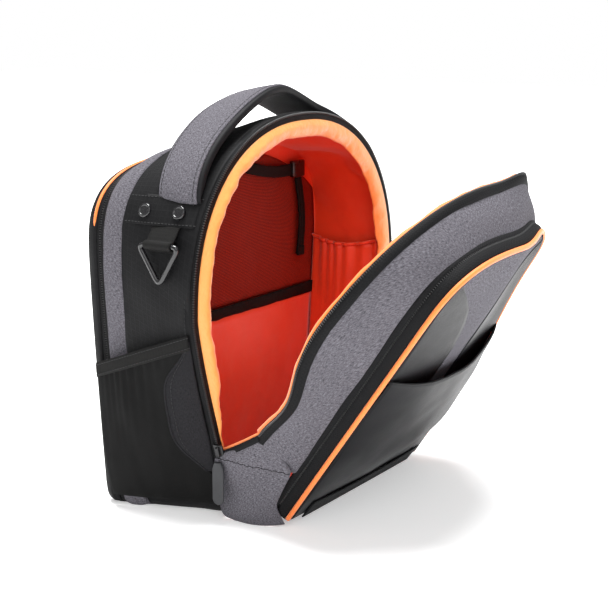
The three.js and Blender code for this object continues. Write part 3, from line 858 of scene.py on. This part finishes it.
def back_pocket_grid(z_from, z_to, y, bulge, seed, rows=26):
    """A pocket on the compartment's rear wall, up to the height z_to(u) for u from -1 to 1."""

    def point(u, v):
        z = z_from + (z_to(u) - z_from) * v
        swell = math.sin(math.pi * (u + 1) / 2) ** 0.6 * math.sin(math.pi * v * 0.85)
        return u * (skin_x(78, z) - 8), y - bulge * swell, z

    grid = surface(point, np.linspace(-1, 1, 44), np.linspace(0, 1, rows))
    grid[..., 1] -= 1.1 * np.abs(noise_at(grid, (30, 30, 45), seed))
    return grid


def build_back_pockets():
    mesh_top = 288
    upper = back_pocket_grid(150, lambda u: mesh_top - 46 * abs(u) ** 3, 80.0, 2.5, 9)
    sheet("net_pocket", upper, 0.8, RED_MESH, replaces=["inner_mesh_pocket"], flip=True)
    lower = back_pocket_grid(9, lambda u: 141, 79.5, 5.0, 10)
    sheet("lower_wall_pocket", lower, 0.8, SATIN, replaces=["inner_lower_pocket"], flip=True)
    band = back_pocket_grid(140, lambda u: 151, 77.4, 2.0, 11, rows=5)
    sheet("wall_pocket_elastic", band, 1.2, ELASTIC, replaces=["inner_pocket_elastic"], flip=True)


def build_inner_side_pockets():
    top = 196
    for name, side in SIDES:

        def point(y, v):
            dip = math.sin(math.pi * (y - 8) / 71)
            z = 14 + (top - 6 * dip - 14) * v
            pucker = 1.4 * math.sin(y * 2 * math.pi / 11 + 2 * math.sin(y / 9)) * v**5
            return side * (skin_x(y, z) - 9.5 - 5 * dip * v**2 - pucker), y, z

        grid = surface(point, np.linspace(8, 79, 40), np.linspace(0, 1, 30))
        grid = soften(grid, False, 1.6, (40, 30, 40), 12 + side)
        sheet(
            f"wall_pocket_{name}", grid, 0.7, SATIN, held="gathered",
            replaces=[f"inner_side_pocket_{name}"], flip=side < 0
        )
        tube(f"wall_pocket_hem_{name}", grid[-1] + [-side * 0.8, 0, 0], 1.5, SATIN)


def tube(name, path, radius, finish, ring=False, sides=12, place=as_built, **put):
    """A round cord along a path."""
    path = np.asarray(path, float)
    if ring:
        along = np.roll(path, -1, axis=0) - np.roll(path, 1, axis=0)
    else:
        along = np.gradient(path, axis=0)
    along /= np.maximum(np.linalg.norm(along, axis=1, keepdims=True), 1e-9)
    normal = np.cross(along[0], [0.3, 0.5, 0.81])
    sections = []
    angles = np.linspace(0, 2 * math.pi, sides, endpoint=False)
    radii = np.broadcast_to(radius, (len(path),))
    for point, direction, r in zip(path, along, radii):
        normal = normal - direction * normal.dot(direction)
        normal /= np.linalg.norm(normal)
        other = np.cross(direction, normal)
        sections.append([point + r * (math.cos(a) * normal + math.sin(a) * other) for a in angles])
    return closed_sweep(name, np.array(sections), finish, place, ring, **put)


def build_hanger():
    y = 75.6
    low, high = node_box("hanger_strap")
    t = np.linspace(0, 1, 20)
    sag = np.sin(math.pi * t)
    z = (low[2] + high[2]) / 2
    path = np.column_stack([low[0] + (high[0] - low[0]) * t, y - 2.5 * sag, z + 9 * (1 - t) - 3 * sag])
    grid = np.stack([path + [0, 0, k] for k in np.linspace(-5.5, 5.5, 7)], axis=1)
    sheet("hanger_webbing", grid, 1.5, ELASTIC, replaces=["hanger_strap"])
    low, high = node_box("hanger_buckle")
    bevelled("hanger_buckle_frame", high - low, (low + high) / 2, 2.4, GLOSS, replaces=["hanger_buckle"])
    low, high = node_box("hanger_tail")
    t = np.linspace(0, 1, 30)
    x = (low[0] + high[0]) / 2 + 3.5 * np.sin(2.4 * t)
    path = np.column_stack([x, y - 1.2 - 2.2 * np.sin(math.pi * t), high[2] + (low[2] + 4 - high[2]) * t])
    grid = np.stack([path + [k, 0.4 * math.sin(k), 0] for k in np.linspace(-4.6, 4.6, 7)], axis=1)
    sheet("hanger_tail_webbing", grid, 1.6, ELASTIC, replaces=["hanger_tail"])
    bevelled("hanger_tail_fold", (10.5, 3.4, 9), path[-1] + [0, -0.6, 3], 1.2, ELASTIC)


# ---------- Body: sides ----------
POCKET_BOTTOM = 10
POCKET_REAR = 99


def pocket_top(y):
    return 162 - 34 * (y - 6) / (POCKET_REAR - 6)


def pocket_seam(z):
    """Depth of the curved seam between the side panel and the mesh."""
    return 5 + 27 * math.exp(-((abs(z - 94) / 46) ** 4))


def pocket_lift(y, z):
    across = math.sin(math.pi * 0.74 * min(max((y - 3) / (POCKET_REAR - 3), 0), 1) ** 1.1) ** 0.8
    up = math.sin(math.pi / 2 * min(max((z - POCKET_BOTTOM) / 60, 0), 1)) ** 0.7
    return 1.8 + 12.5 * across * (0.35 + 0.65 * up)


def on_side(side, y, z, extra=0.0):
    return (side * (skin_x(y, z) + extra), y, z)


def build_side_pocket(name, side):
    def mesh_point(u, v):
        rough = pocket_top(6 + (POCKET_REAR - 6) * u) - POCKET_BOTTOM
        front = pocket_seam(POCKET_BOTTOM + rough * v)
        y = front + (POCKET_REAR - front) * u
        tall = pocket_top(y) - POCKET_BOTTOM
        z = POCKET_BOTTOM + tall * v
        gather = math.sin(y * 2 * math.pi / 7.5 + 3 * math.sin(y / 14)) * math.exp(-(1 - v) * tall / 26)
        return on_side(side, y, z, pocket_lift(y, z) + gather * math.sin(math.pi * u))

    def panel_point(u, v):
        z = 42 + (158 - 42) * v
        y = 4.5 + (pocket_seam(z) + 1.5 - 4.5) * u
        return on_side(side, y, z, pocket_lift(y, z) + 1.0 + 0.8 * math.sin(math.pi * u) ** 0.5)

    def band_point(y, v):
        z = pocket_top(y) - 12 + 12.6 * v
        return on_side(side, y, z, pocket_lift(y, z) + 2.2 - 0.5 * (2 * v - 1) ** 2)

    grid = surface(mesh_point, np.linspace(0, 1, 60), np.linspace(0, 1, 46))
    grid[..., 0] += side * noise_at(grid, (40, 22, 60), 20) * 1.6
    sheet(
        f"mesh_pocket_{name}", grid, 1.2, POCKET_MESH, held="gathered", replaces=[f"side_pocket_{name}"],
        flip=side > 0
    )
    grid = surface(panel_point, np.linspace(0, 1, 16), np.linspace(0, 1, 40))
    grid[..., 0] += side * noise_at(grid, (40, 25, 30), 21) * 1.2
    sheet(f"curved_panel_{name}", grid, 1.4, DARK_HEATHER, replaces=[f"side_panel_{name}"], flip=side > 0)
    tube(f"curved_panel_cord_{name}", grid[:, -1], 1.0, DARK_HEATHER, sides=8)
    inner = grid[2:-2, -4] + [side * 0.25, 0, 0]
    stitches(f"curved_panel_stitches_{name}", inner, sideways(side, len(inner)), THREAD)
    grid = surface(band_point, np.linspace(5, POCKET_REAR, 60), np.linspace(0, 1, 7))
    sheet(f"pocket_elastic_{name}", grid, 2.0, ELASTIC, replaces=[f"pocket_band_{name}"], flip=side > 0)
    for number, row in ((1, grid[1]), (5, grid[-2])):
        stitches(
            f"pocket_elastic_stitches_{name}_{number}", row + [side * 0.2, 0, 0], sideways(side, len(row)),
            THREAD, pitch=3.0
        )


def build_anchor(name, side):
    low, high = node_box(f"anchor_patch_{name}")
    ys, zs = np.linspace(low[1], high[1], 30), np.linspace(low[2], high[2] + 2, 14)
    grid = np.array([[on_side(side, y, z, 2.8) for y in ys] for z in zs])
    grid[..., 0] += side * noise_at(grid, 25, 30) * 0.6
    sheet(
        f"anchor_patch_cloth_{name}", grid, 1.6, RIPSTOP, replaces=[f"anchor_patch_{name}"], flip=side > 0
    )
    outs = sideways(side, len(ys))
    for k, row in enumerate((1, 12)):
        stitches(f"anchor_stitches_{name}_{k}", grid[row] + [side * 0.3, 0, 0], outs, THREAD, pitch=3.2)
    for place in ("front", "rear"):
        node = f"snap_{place}_{name}"
        build_snap(f"{node}_cap", node_centre(node), side, node)


def build_snap(name, centre, side, node):
    """A press stud: a raised rim around a dished middle."""
    profile = [(2.6, 0.8), (3.4, 0.5), (4.0, 1.3), (4.9, 1.6), (5.7, 1.1), (6.0, 0.1), (5.9, -1.2)]
    sides = 28
    lean = math.atan2(skin_x(centre[1], centre[2] + 6) - skin_x(centre[1], centre[2] - 6), 12)
    out = np.array([side * math.cos(lean), 0, -math.sin(lean)])
    up = np.array([side * math.sin(lean), 0, math.cos(lean)])
    rings = []
    for radius, height in profile:
        ring = [
            centre + out * height + radius * (math.cos(a) * Y_AXIS + math.sin(a) * up)
            for a in np.linspace(0, 2 * math.pi, sides, endpoint=False)
        ]
        rings.append(ring)
    closed_sweep(name, np.array(rings), GLOSS, replaces=[node])


def build_d_ring(name, side):
    low, high = node_box(f"d_ring_{name}")
    x, y, _ = (low + high) / 2
    bar = (high[0] - low[0]) / 2
    top, bottom = high[2] - bar, low[2] + bar
    half = (high[1] - low[1]) / 2 - bar
    corners = np.array([(-half, top), (half, top), (0, bottom)])
    path = []
    for k in range(3):
        before, here, after = corners[k - 1], corners[k], corners[(k + 1) % 3]
        cut = 7.0
        start = here + (before - here) / np.linalg.norm(before - here) * cut
        end = here + (after - here) / np.linalg.norm(after - here) * cut
        for t in np.linspace(0, 1, 9):
            path.append(curve(start, here, end, t))
    path = np.array([(x, y + p[0], p[1]) for p in path])
    tube(
        f"d_ring_bar_{name}", path, bar, GLOSS, ring=True, sides=16, body=f"d_ring_{name}",
        replaces=[f"d_ring_{name}"]
    )
    low, high = node_box(f"d_ring_loop_{name}")
    ys = np.linspace(low[1], high[1], 9)
    centre_z = (low[2] + high[2]) / 2
    radius = (high[2] - low[2]) / 2 - 0.8
    angles = np.linspace(-0.65 * math.pi, 0.65 * math.pi, 22)
    section = [(x + side * radius * math.cos(a), centre_z + radius * math.sin(a)) for a in angles]
    wall = skin_x(y, centre_z + 14) + 2.4
    section = [(side * wall, centre_z - 9)] + section + [(side * wall, centre_z + 14)]
    section = resampled(np.array(section), 1.0)
    grid = np.array([[(sx, yy, sz) for sx, sz in section] for yy in ys])
    sheet(f"d_ring_webbing_{name}", grid, 1.4, ELASTIC, replaces=[f"d_ring_loop_{name}"], flip=side < 0)


# ---------- Handle ----------
HANDLE = {"half": 141.5, "spring": 268.6, "top": 347.5, "power": 1.75, "width": 43, "base_y": 27, "top_y": 32}
HANDLE_THICK = 8.5
HANDLE_LEAN = 20  # the slack right leg leans back


def handle_frame():
    """The strap's outer face: points over the arch, the way out, and how far up each point is."""
    angle = np.linspace(0, math.pi, 91)
    c, s = np.cos(angle), np.clip(np.sin(angle), 0, 1)
    x = HANDLE["half"] * np.sign(c) * np.abs(c) ** (2 / HANDLE["power"])
    z = HANDLE["spring"] + (HANDLE["top"] - HANDLE["spring"]) * s ** (2 / HANDLE["power"])
    flat = resampled(np.column_stack([x, z]), 3.0)
    low = np.array([[HANDLE["half"] - 1, HANDLE["spring"] - 5]])
    flat = np.vstack([low, flat, low * [-1, 1]])
    along = np.gradient(flat, axis=0)
    along /= np.linalg.norm(along, axis=1, keepdims=True)
    rise = np.clip((flat[:, 1] - HANDLE["spring"]) / (HANDLE["top"] - HANDLE["spring"]), 0, 1)
    y = HANDLE["base_y"] + (HANDLE["top_y"] - HANDLE["base_y"]) * rise
    slack = smooth_step((flat[:, 0] + 50) / 130)
    y = y + HANDLE_LEAN * slack * (1 - smooth_step((flat[:, 0] - 70) / 70))
    points = np.column_stack([flat[:, 0], y, flat[:, 1] - 8 * slack * rise + 2 * rise])
    outs = np.column_stack([along[:, 1], np.zeros(len(flat)), -along[:, 0]])
    return points, outs, rise


def tilted(grid, points):
    """Tips the top of the strap so that its outer face looks up and back."""
    grid = grid.copy()
    share = smooth_step((points[:, 0] + 95) / 70) * (1 - smooth_step((points[:, 0] - 90) / 40))
    grid[..., 2] -= 0.19 * share[:, None] * (grid[..., 1] - points[:, None, 1])
    return grid


def build_handle():
    points, outs, rise = handle_frame()
    thick = 2.5 + (HANDLE_THICK - 3) * np.clip(rise / 0.16, 0, 1) ** 0.7
    wide = HANDLE["width"]
    pad = np.array([oval(t, wide, 4.5, 34, (-1.4 - t / 2, 0)) for t in thick])
    grid = tilted(ribbon(points, outs, pad), points)
    closed_sweep("handle_padding", grid, PADDING, replaces=["handle_pad"])
    section = oval(2.6, wide - 6.5, 5.0, 34, (-1.3, 0))
    grid = ribbon(points, outs, section)
    across = (grid[..., 1] - points[:, None, 1]) / (wide / 2)
    grid = tilted(grid + outs[:, None] * (1.1 * (1 - across**2) - 0.5)[..., None], points)
    closed_sweep("handle_face", grid, HEATHER, replaces=["handle_strap"])
    for k, end in enumerate((-1, 1)):
        row = tilted((points + outs * 0.1 + Y_AXIS * (end * (wide - 12) / 2))[:, None], points)[:, 0]
        stitches(f"handle_stitches_{k}", row, outs, THREAD)


# ---------- Rear ----------
def build_rear():
    edge = body_profile(BODY_DEPTH)
    tapes = (("rear_tape_front", 91.5, 95.6, ["rear_zip_band"]), ("rear_tape_back", 96.6, 100.2, []))
    for name, front, back, replaces in tapes:
        grid = grounded(body_grid(np.linspace(front, back, 5), -0.6))
        sheet(name, grid, 1.4, TAPE, wrap=True, flip=True, replaces=replaces)
    zip_teeth("rear_zip_teeth", body_profile(96), 96.1, 14, 1.2, 3.0)
    points, outs = arch_frame(shrunk(edge, -1.6), 102.6, 14)
    points = points - outs * (3.6 * (1 - smooth_step((points[:, 2] - 215) / 35)))[:, None]
    tube("rear_piping_cord", points, 1.7, PIPING, body="rear_cover", replaces=["rear_piping"])
    sections = ((100.4, 0.6), (103, 0.2), (107, 1.2), (110, 4.0), (111.6, 9))
    rings = np.array([ring_at(loop(shrunk(edge, inset)), y) for y, inset in sections])
    inner = closing_rings(rings[-1], np.array([0, 0, 150.0]), np.linspace(0.93, 0.001, 22), 111.8)
    channel = np.abs(np.abs(inner[..., 0]) - 34)
    pad = np.clip(channel / 12, 0, 1) ** 0.5
    border = np.clip((140 - np.abs(inner[..., 0])) / 20, 0, 1) ** 0.5
    inner[..., 1] += 4.5 * pad * border - 1.5
    sheet(
        "back_panel_cloth", grounded(np.concatenate([rings, inner])), 3.0, RIPSTOP, wrap=True, flip=True,
        fill=0.7, body="rear_cover", replaces=["back_panel"]
    )


# ---------- Flap ----------
def flap_grid(ys, inset=0.0, crown=0.0):
    rings = []
    for y in ys:
        share = (y - ys[0]) / (ys[-1] - ys[0])
        rings.append(ring_at(loop(shrunk(flap_profile(y), inset - crown * math.sin(math.pi * share))), y))
    return np.array(rings)


def build_flap_skin():
    ys = np.linspace(-5.5, BAND_Y, 27)
    grid = flap_grid(ys, 0, 2.0)
    grid = soften(grid, True, 1.2, (60, 50, 60), 40)
    sheet(
        "flap_gusset_cloth", grid, 2.0, HEATHER, wrap=True, fill=0.7, replaces=["flap_gusset"],
        **ON_SOFT_WALL
    )
    sections = ((0.6, 4.5), (0.4, 1.5), (-0.5, -0.9), (-3.2, -1.7), (-6.0, -1.4), (-6.6, 0.8))
    rings = [ring_at(loop(shrunk(flap_profile(y), inset)), y) for y, inset in sections]
    sheet("flap_zip_tape", np.array(rings), 1.6, TAPE, wrap=True, replaces=["flap_zip_band"], **ON_SOFT_WALL)
    zip_teeth("flap_zip_teeth", FLAP_RIM, -0.4, FLAP_START_Z + 4, 1.6, 2.2, **ON_SOFT_WALL)
    points, outs = arch_frame(shrunk(flap_profile(-4.8), -1.9), -4.8, FLAP_START_Z + 4)
    stitches("flap_zip_stitches", points, outs, THREAD, **ON_SOFT_WALL)
    points, outs = arch_frame(RIM, 0, FLAP_START_Z + 2, 2.5)
    edge = [
        [
            (-1.2, 0.6), (-1.3, 3.0 + 0.8 * w), (-2.4, 4.6 + 1.2 * w),
            (-6.0 - w, 4.6), (-9.0 - w, -1.5), (-9, -8),
        ]
        for w in noise_along(arc_lengths(points), 22, 41)
    ]
    sheet(
        "flap_edge_satin", ribbon(points, outs, edge), 0.7, PIPING, held="gathered",
        replaces=["flap_facing"], flip=True, **ON_SOFT_WALL
    )


def build_flap_lining():
    ys = np.concatenate([np.linspace(-3, BAND_Y + 6, 14), [BAND_Y + 4]])
    grid = flap_grid(ys, 5.0)
    folds = np.abs(noise_at(grid, (45, 60, 45), 42))
    centre = np.array([0, 0, 185.0])
    grid = pulled_in(grid, centre, 4.0 * folds)
    back = closing_rings(grid[-1], centre, np.linspace(0.95, 0.001, 14), BAND_Y + 3.6)
    back[..., 1] += 1.5 * np.abs(noise_at(back, 40, 43))
    sheet(
        "flap_lining_satin", np.concatenate([grid, back]), 0.6, SATIN, wrap=True, flip=True,
        replaces=["flap_lining"], **ON_SOFT_WALL
    )


def organizer_profile(y):
    return between(BAND, FRONT, (y - BAND_Y) / (FRONT_Y - BAND_Y))


def build_organizer():
    bands = (
        ("organizer_band_rear", BAND_Y, -38.6, ["organizer_gusset", "organizer_zip"]),
        ("organizer_band_front", -40.4, FRONT_Y, [])
    )
    for name, rear, front, replaces in bands:
        rings = []
        for y in np.linspace(rear, front, 7):
            crown = 0.8 * math.sin(math.pi * (y - rear) / (front - rear))
            rings.append(ring_at(loop(shrunk(organizer_profile(y), -crown - 0.4)), y))
        sheet(name, np.array(rings), 1.6, TAPE, wrap=True, slot="black_nylon", replaces=replaces, **ON_FLAP)
    zip_teeth("organizer_teeth", organizer_profile(-39.5), -39.5, 44, 1.2, 3.4, **ON_FLAP)
    for k, y in enumerate((-37.2, -42.2)):
        points, outs = arch_frame(shrunk(organizer_profile(y), -1.5), y, 56)
        stitches(f"organizer_stitches_{k}", points, outs, THREAD, **ON_FLAP)
    depth = -34.4
    wall = closing_rings(
        ring_at(loop(shrunk(BAND, 5)), depth), np.array([0, 0, 170.0]), np.linspace(1, 0.001, 12), depth
    )
    sheet("organizer_wall", wall, 1.6, NYLON, wrap=True, replaces=["organizer_divider"], **ON_FLAP)

    def slip_point(x, z):
        return x, -37.4 - math.sin(math.pi * (x + 84) / 168) ** 0.5, z

    grid = surface(slip_point, np.linspace(-84, 84, 30), np.linspace(54, 184, 24))
    sheet("slip_pocket_mesh", grid, 0.8, POCKET_MESH, replaces=["organizer_slip_pocket"], **ON_FLAP)


def panel_bulge(x, z):
    edge = max(1 - (abs(x) / FRONT.half) ** 3, 0)
    return 4 * edge * math.sin(math.pi * min(max((z - 31) / 262, 0), 1)) ** 0.7


SIDE_CLOTH_EDGE = ((200, 216, 234, 250, 264, 281, 296), (17, 21, 29, 41, 59, 84, 100))  # height, inner edge


def build_front_panel():
    flat = loop(shrunk(FRONT, 0.4))
    centre = np.array([0, 165.0])
    rings = []
    for share in np.linspace(1, 0.001, 30):
        ring = centre + (flat - centre) * share
        rings.append([(x, FRONT_Y - 1.6 - panel_bulge(x, z), z) for x, z in ring])
    sheet(
        "front_panel_cloth", np.array(rings), 1.6, HEATHER, wrap=True, fill=0.6, replaces=["front_panel"],
        **ON_COVER
    )
    points, outs = arch_frame(shrunk(FRONT, -0.8), FRONT_Y - 2.2, 34)
    tube("front_piping_cord", points, 2.1, PIPING, replaces=["front_piping"], **ON_COVER)
    for name, side in SIDES:

        def point(u, z):
            outer = front_half(z) - 1.0
            inner = min(float(np.interp(z, *SIDE_CLOTH_EDGE)), outer - 0.5)
            x = inner + (outer - inner) * u
            return side * x, FRONT_Y - 2.9 - panel_bulge(x, z), z

        grid = surface(point, np.linspace(0, 1, 14), np.linspace(40, 292, 60))
        sheet(f"front_side_cloth_{name}", grid, 0.9, NYLON, flip=side < 0, **ON_COVER)
        tube(f"front_side_seam_{name}", grid[:, 0], 0.8, NYLON, sides=8, **ON_COVER)


def front_half(z):
    p = shrunk(FRONT, 0.4)
    if z <= p.spring:
        return float(side_half(p, z))
    rise = min((z - p.spring) / (p.top - p.spring), 1)
    return p.half * (1 - rise**p.power) ** (1 / p.power)


def pocket_bow(x, z):
    across = max(1 - (abs(x) / FRONT.half) ** 2.4, 0) ** 0.8
    return 11.5 * smooth_step((z - 33) / 75) * across


def pocket_edge_z(u):
    return 183 + 7 * abs(u) ** 2.2


def build_front_pocket():
    def point(u, v):
        z = 36 + (pocket_edge_z(u) - 36) * v
        x = u * (front_half(z) - 0.8)
        return x, FRONT_Y - 3.4 - panel_bulge(x, z) - pocket_bow(x, z), z

    def binding_point(x, z):
        return x, FRONT_Y - 5.4 - panel_bulge(x, z) - pocket_bow(x, z), z

    grid = surface(point, np.linspace(-1, 1, 60), np.linspace(0, 1, 50))
    grid[..., 1] -= noise_at(grid, (55, 55, 40), 50) * 1.2
    sheet("front_pocket_cloth", grid, 1.2, NYLON, replaces=["front_pocket"], **ON_COVER)
    lining = grid[10:-1, 2:-2].copy()
    lining[..., 1] += 1.5
    sheet("front_pocket_lining", lining, 0.5, SATIN, **ON_COVER)
    tube("front_pocket_edge", grid[-1], 1.2, NYLON, replaces=["front_pocket_hem"], **ON_COVER)
    outs = np.tile([0.0, -1.0, 0.0], (grid.shape[1], 1))
    stitches("front_pocket_stitches", grid[-4] + [0, -0.3, 0], outs, THREAD, **ON_COVER)
    grid = surface(binding_point, np.linspace(-90, 90, 50), np.linspace(33, 52, 10))
    sheet("front_lower_binding", grid, 1.2, TAPE, replaces=["front_binding"], **ON_COVER)


# ---------- Cloth below the zip ends ----------
def side_point(z, y, out=1.2):
    return (-(float(side_half(RIM, z)) + out), y, z)


def flap_point(x, y, z):
    return tuple(flap_opened(np.array([x, y, z], float)))


SEAM_ROWS = (6, 19)  # where the seam crosses the wedge, at the body and at the flap


def wedge_grid(side, inset):
    """The cloth between the body's side and the flap, as curves from the body to the flap."""
    rim_x = -float(side_half(RIM, FLAP_START_Z + 1))
    middle = flap_profile(-18)
    stations = [
        (side_point(58, 0.5), (rim_x + 6, -22, 69), flap_point(rim_x - 1, -0.5, FLAP_START_Z + 3)),
        (side_point(52, 7), (-139, -20, 62), flap_point(-float(side_half(middle, 89)) - 2, -18, 88)),
        (side_point(40, 12), (-136, -22, 47), flap_point(-120, -35.6, 80)),
        (side_point(24, 10.5), (-133, -24, 31), flap_point(-119, -37, 60)),
        ((-121, 1, 5), (-129, -28, 15), flap_point(-115, -38, 41)),
        ((-117, -10, 0.8), (-121, -38, 0.8), (-106, -50, 2.0))
    ]
    controls = np.array(stations, float)
    at = np.linspace(0, len(stations) - 1, 46)
    numbers = range(len(stations))
    smooth = np.array([[np.interp(at, numbers, controls[:, k, axis]) for axis in range(3)] for k in range(3)])
    for _ in range(6):
        smooth[..., 1:-1] = (smooth[..., :-2] + 2 * smooth[..., 1:-1] + smooth[..., 2:]) / 4
    p0, p1, p2 = (smooth[k].T[None] for k in range(3))
    t = np.linspace(0, 1, 30)[:, None, None]
    grid = curve(p0, p1, p2, t)
    grid[..., 0] += inset
    grid[..., 0] *= -side
    return grid


def build_lower_gusset():
    """The folded wedges that join the body to the flap below the zip ends, and the floor between them."""
    pieces = []
    for name, side in SIDES:
        grid = wedge_grid(side, 0.0)
        grid[..., 2] = np.maximum(grid[..., 2], 0.4)
        replaces = ["lower_front_gusset"] if name == "left" else []
        cloth = sheet(f"lower_wedge_{name}", grid, 1.4, HEATHER, body=None, replaces=replaces, flip=side > 0)
        rows = np.linspace(*SEAM_ROWS, len(grid)).round().astype(int)
        seam = grid[np.arange(len(grid)), rows] + [side * 0.9, 0, 0]
        cord = tube(f"wedge_seam_{name}", seam, 0.7, TAPE, body=None, slot="black_nylon", sides=8)
        edge = grid[:, 0]
        section = [(1.8, -4.5), (1.8, 1.5), (-1.2, 1.5), (-1.2, -4.5)]
        strip = np.array([[point + [side * out, 0, up] for out, up in section] for point in edge])
        trim = tube(f"wedge_edge_{name}", edge + [-side * 2.2, 0.5, 1.6], 1.7, PIPING, body=None)
        tape = closed_sweep(f"wedge_tape_{name}", strip, TAPE, body=None)
        inner = wedge_grid(side, 2.6)[:-2, :-5]
        lining = sheet(f"wedge_lining_{name}", inner, 0.6, SATIN, body=None, flip=side > 0)
        pieces += [cloth, cord, trim, tape, lining]

    def floor_point(x, t):
        front = opened(np.array([x * 0.97, BAND_Y + 1, BAND.bottom + 2.0]))
        return curve(np.array([x, 3, 0.9]), np.array([x, -40, 0.6]), front, t)

    grid = surface(floor_point, np.linspace(-106, 106, 40), np.linspace(0, 1, 24))
    pieces.append(sheet("lower_floor_cloth", grid, 1.2, HEATHER, body=None, flip=True))
    for piece in pieces:
        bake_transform(piece)


# ---------- Sliders and pulls ----------
def node_centre(node):
    return sum(node_box(node)) / 2


def build_slider(name, side):
    centre = node_centre(name)
    put = {"body": name, "turn": side * (0.31 if name.startswith("main") else 0.07)}
    bevelled(
        f"{name}_plate", (2.0, 9.0, 12.5), centre - [side * 1.2, 0, 0], 0.9, ENAMEL, replaces=[name], **put
    )
    bevelled(f"{name}_bridge", (2.8, 3.4, 9.0), centre + [side * 1.0, 0, 0], 1.2, ENAMEL, **put)


PULL_HEAD = 6.0  # length of the pull's narrow top
PULL_GROOVES = ((0.70, 0.74), (0.80, 0.84))  # shares of its length


def build_pull(name, width, finish):
    low, high = node_box(name)
    centre = (low + high) / 2
    thick, _, length = high - low
    rows = []
    for t in np.linspace(0, 1, 30):
        down = length * t
        from_end = length - down
        if down < PULL_HEAD:
            half = width * (0.28 + 0.22 * down / PULL_HEAD)
        elif from_end > width / 2:
            half = width / 2
        else:
            half = math.sqrt(max((width / 2) ** 2 - (width / 2 - from_end) ** 2, 0.04))
        grooved = any(start < t < end for start, end in PULL_GROOVES)
        rim = oval(thick * (0.85 if grooved else 1.0), 2 * half, 4.0, 20)
        rows.append([(centre[0] + a, centre[1] + b, centre[2] + length / 2 - down) for a, b in rim])
    closed_sweep(f"{name}_tab", np.array(rows), finish, body=name, replaces=[name])


def build_hardware():
    for name, side in SIDES:
        build_slider(f"main_slider_{name}", side)
        build_slider(f"rear_slider_{name}", side)
        build_pull(f"main_pull_{name}", 11, RUBBER)
        build_pull(f"rear_pull_{name}", 5, GREY_RUBBER)


def finish_cad_nodes():
    """The organizer's slider and pull keep their CAD shape and get better materials."""
    for node, material in (("organizer_slider", ENAMEL), ("organizer_pull", RUBBER)):
        frame["nodes"][node].data.materials[0] = material


# ---------- Stage ----------
FLOOR_HALF = 6.0  # metres
FLOOR_GLOW = 0.4
WORLD_LIGHT = 0.45  # the world as a light; the camera sees it as plain white
SUNS = (("key", (0.1, 0.1, 1.0), 34, 6.8), ("side", (-0.6, -0.5, 0.6), 45, 0.8))  # from, spread, power


def build_stage():
    mesh = bpy.data.meshes.new("floor")
    corners = [(x * FLOOR_HALF, y * FLOOR_HALF, 0) for x, y in ((-1, -1), (1, -1), (1, 1), (-1, 1))]
    mesh.from_pydata(corners, [], [(0, 1, 2, 3)])
    floor = bpy.data.objects.new("floor", mesh)
    bpy.context.scene.collection.objects.link(floor)
    white = principled("floor_white", (0.86, 0.86, 0.86), 0.95, specular=0.1)
    lift = white.node_tree.nodes["Principled BSDF"]
    lift.inputs["Emission Color"].default_value = (1, 1, 1, 1)
    lift.inputs["Emission Strength"].default_value = FLOOR_GLOW
    mesh.materials.append(white)
    floor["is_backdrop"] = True
    world = bpy.data.worlds.new("studio")
    scene = bpy.context.scene
    scene.world = world
    scene.view_settings.view_transform = "Standard"
    world.use_nodes = True
    background = world.node_tree.nodes["Background"]
    background.inputs["Color"].default_value = (1, 1, 1, 1)
    light_path = world.node_tree.nodes.new("ShaderNodeLightPath")
    level = world.node_tree.nodes.new("ShaderNodeMapRange")
    level.inputs["To Min"].default_value = WORLD_LIGHT
    level.inputs["To Max"].default_value = 1.0
    world.node_tree.links.new(light_path.outputs["Is Camera Ray"], level.inputs["Value"])
    world.node_tree.links.new(level.outputs["Result"], background.inputs["Strength"])
    for name, place, angle, power in SUNS:
        data = bpy.data.lights.new(name, "SUN")
        data.angle = math.radians(angle)
        data.energy = power
        light = bpy.data.objects.new(name, data)
        light.rotation_euler = Vector(place).to_track_quat("Z", "Y").to_euler()
        scene.collection.objects.link(light)


def save_sizes():
    boxes = {"cad": CAD_BOX, "visual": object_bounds()}
    {name: [list(corner) for corner in corners] for name, corners in boxes.items()}


add_camera()
build_stage()
build_skin()
build_main_zip()
build_rim_facing()
build_lining()
build_back_pockets()
build_inner_side_pockets()
build_hanger()
for side_name, side_sign in SIDES:
    build_side_pocket(side_name, side_sign)
    build_anchor(side_name, side_sign)
    build_d_ring(side_name, side_sign)
build_handle()
build_rear()
build_flap_skin()
build_flap_lining()
build_organizer()
build_front_panel()
build_front_pocket()
build_lower_gusset()
build_hardware()
finish_cad_nodes()
save_sizes()
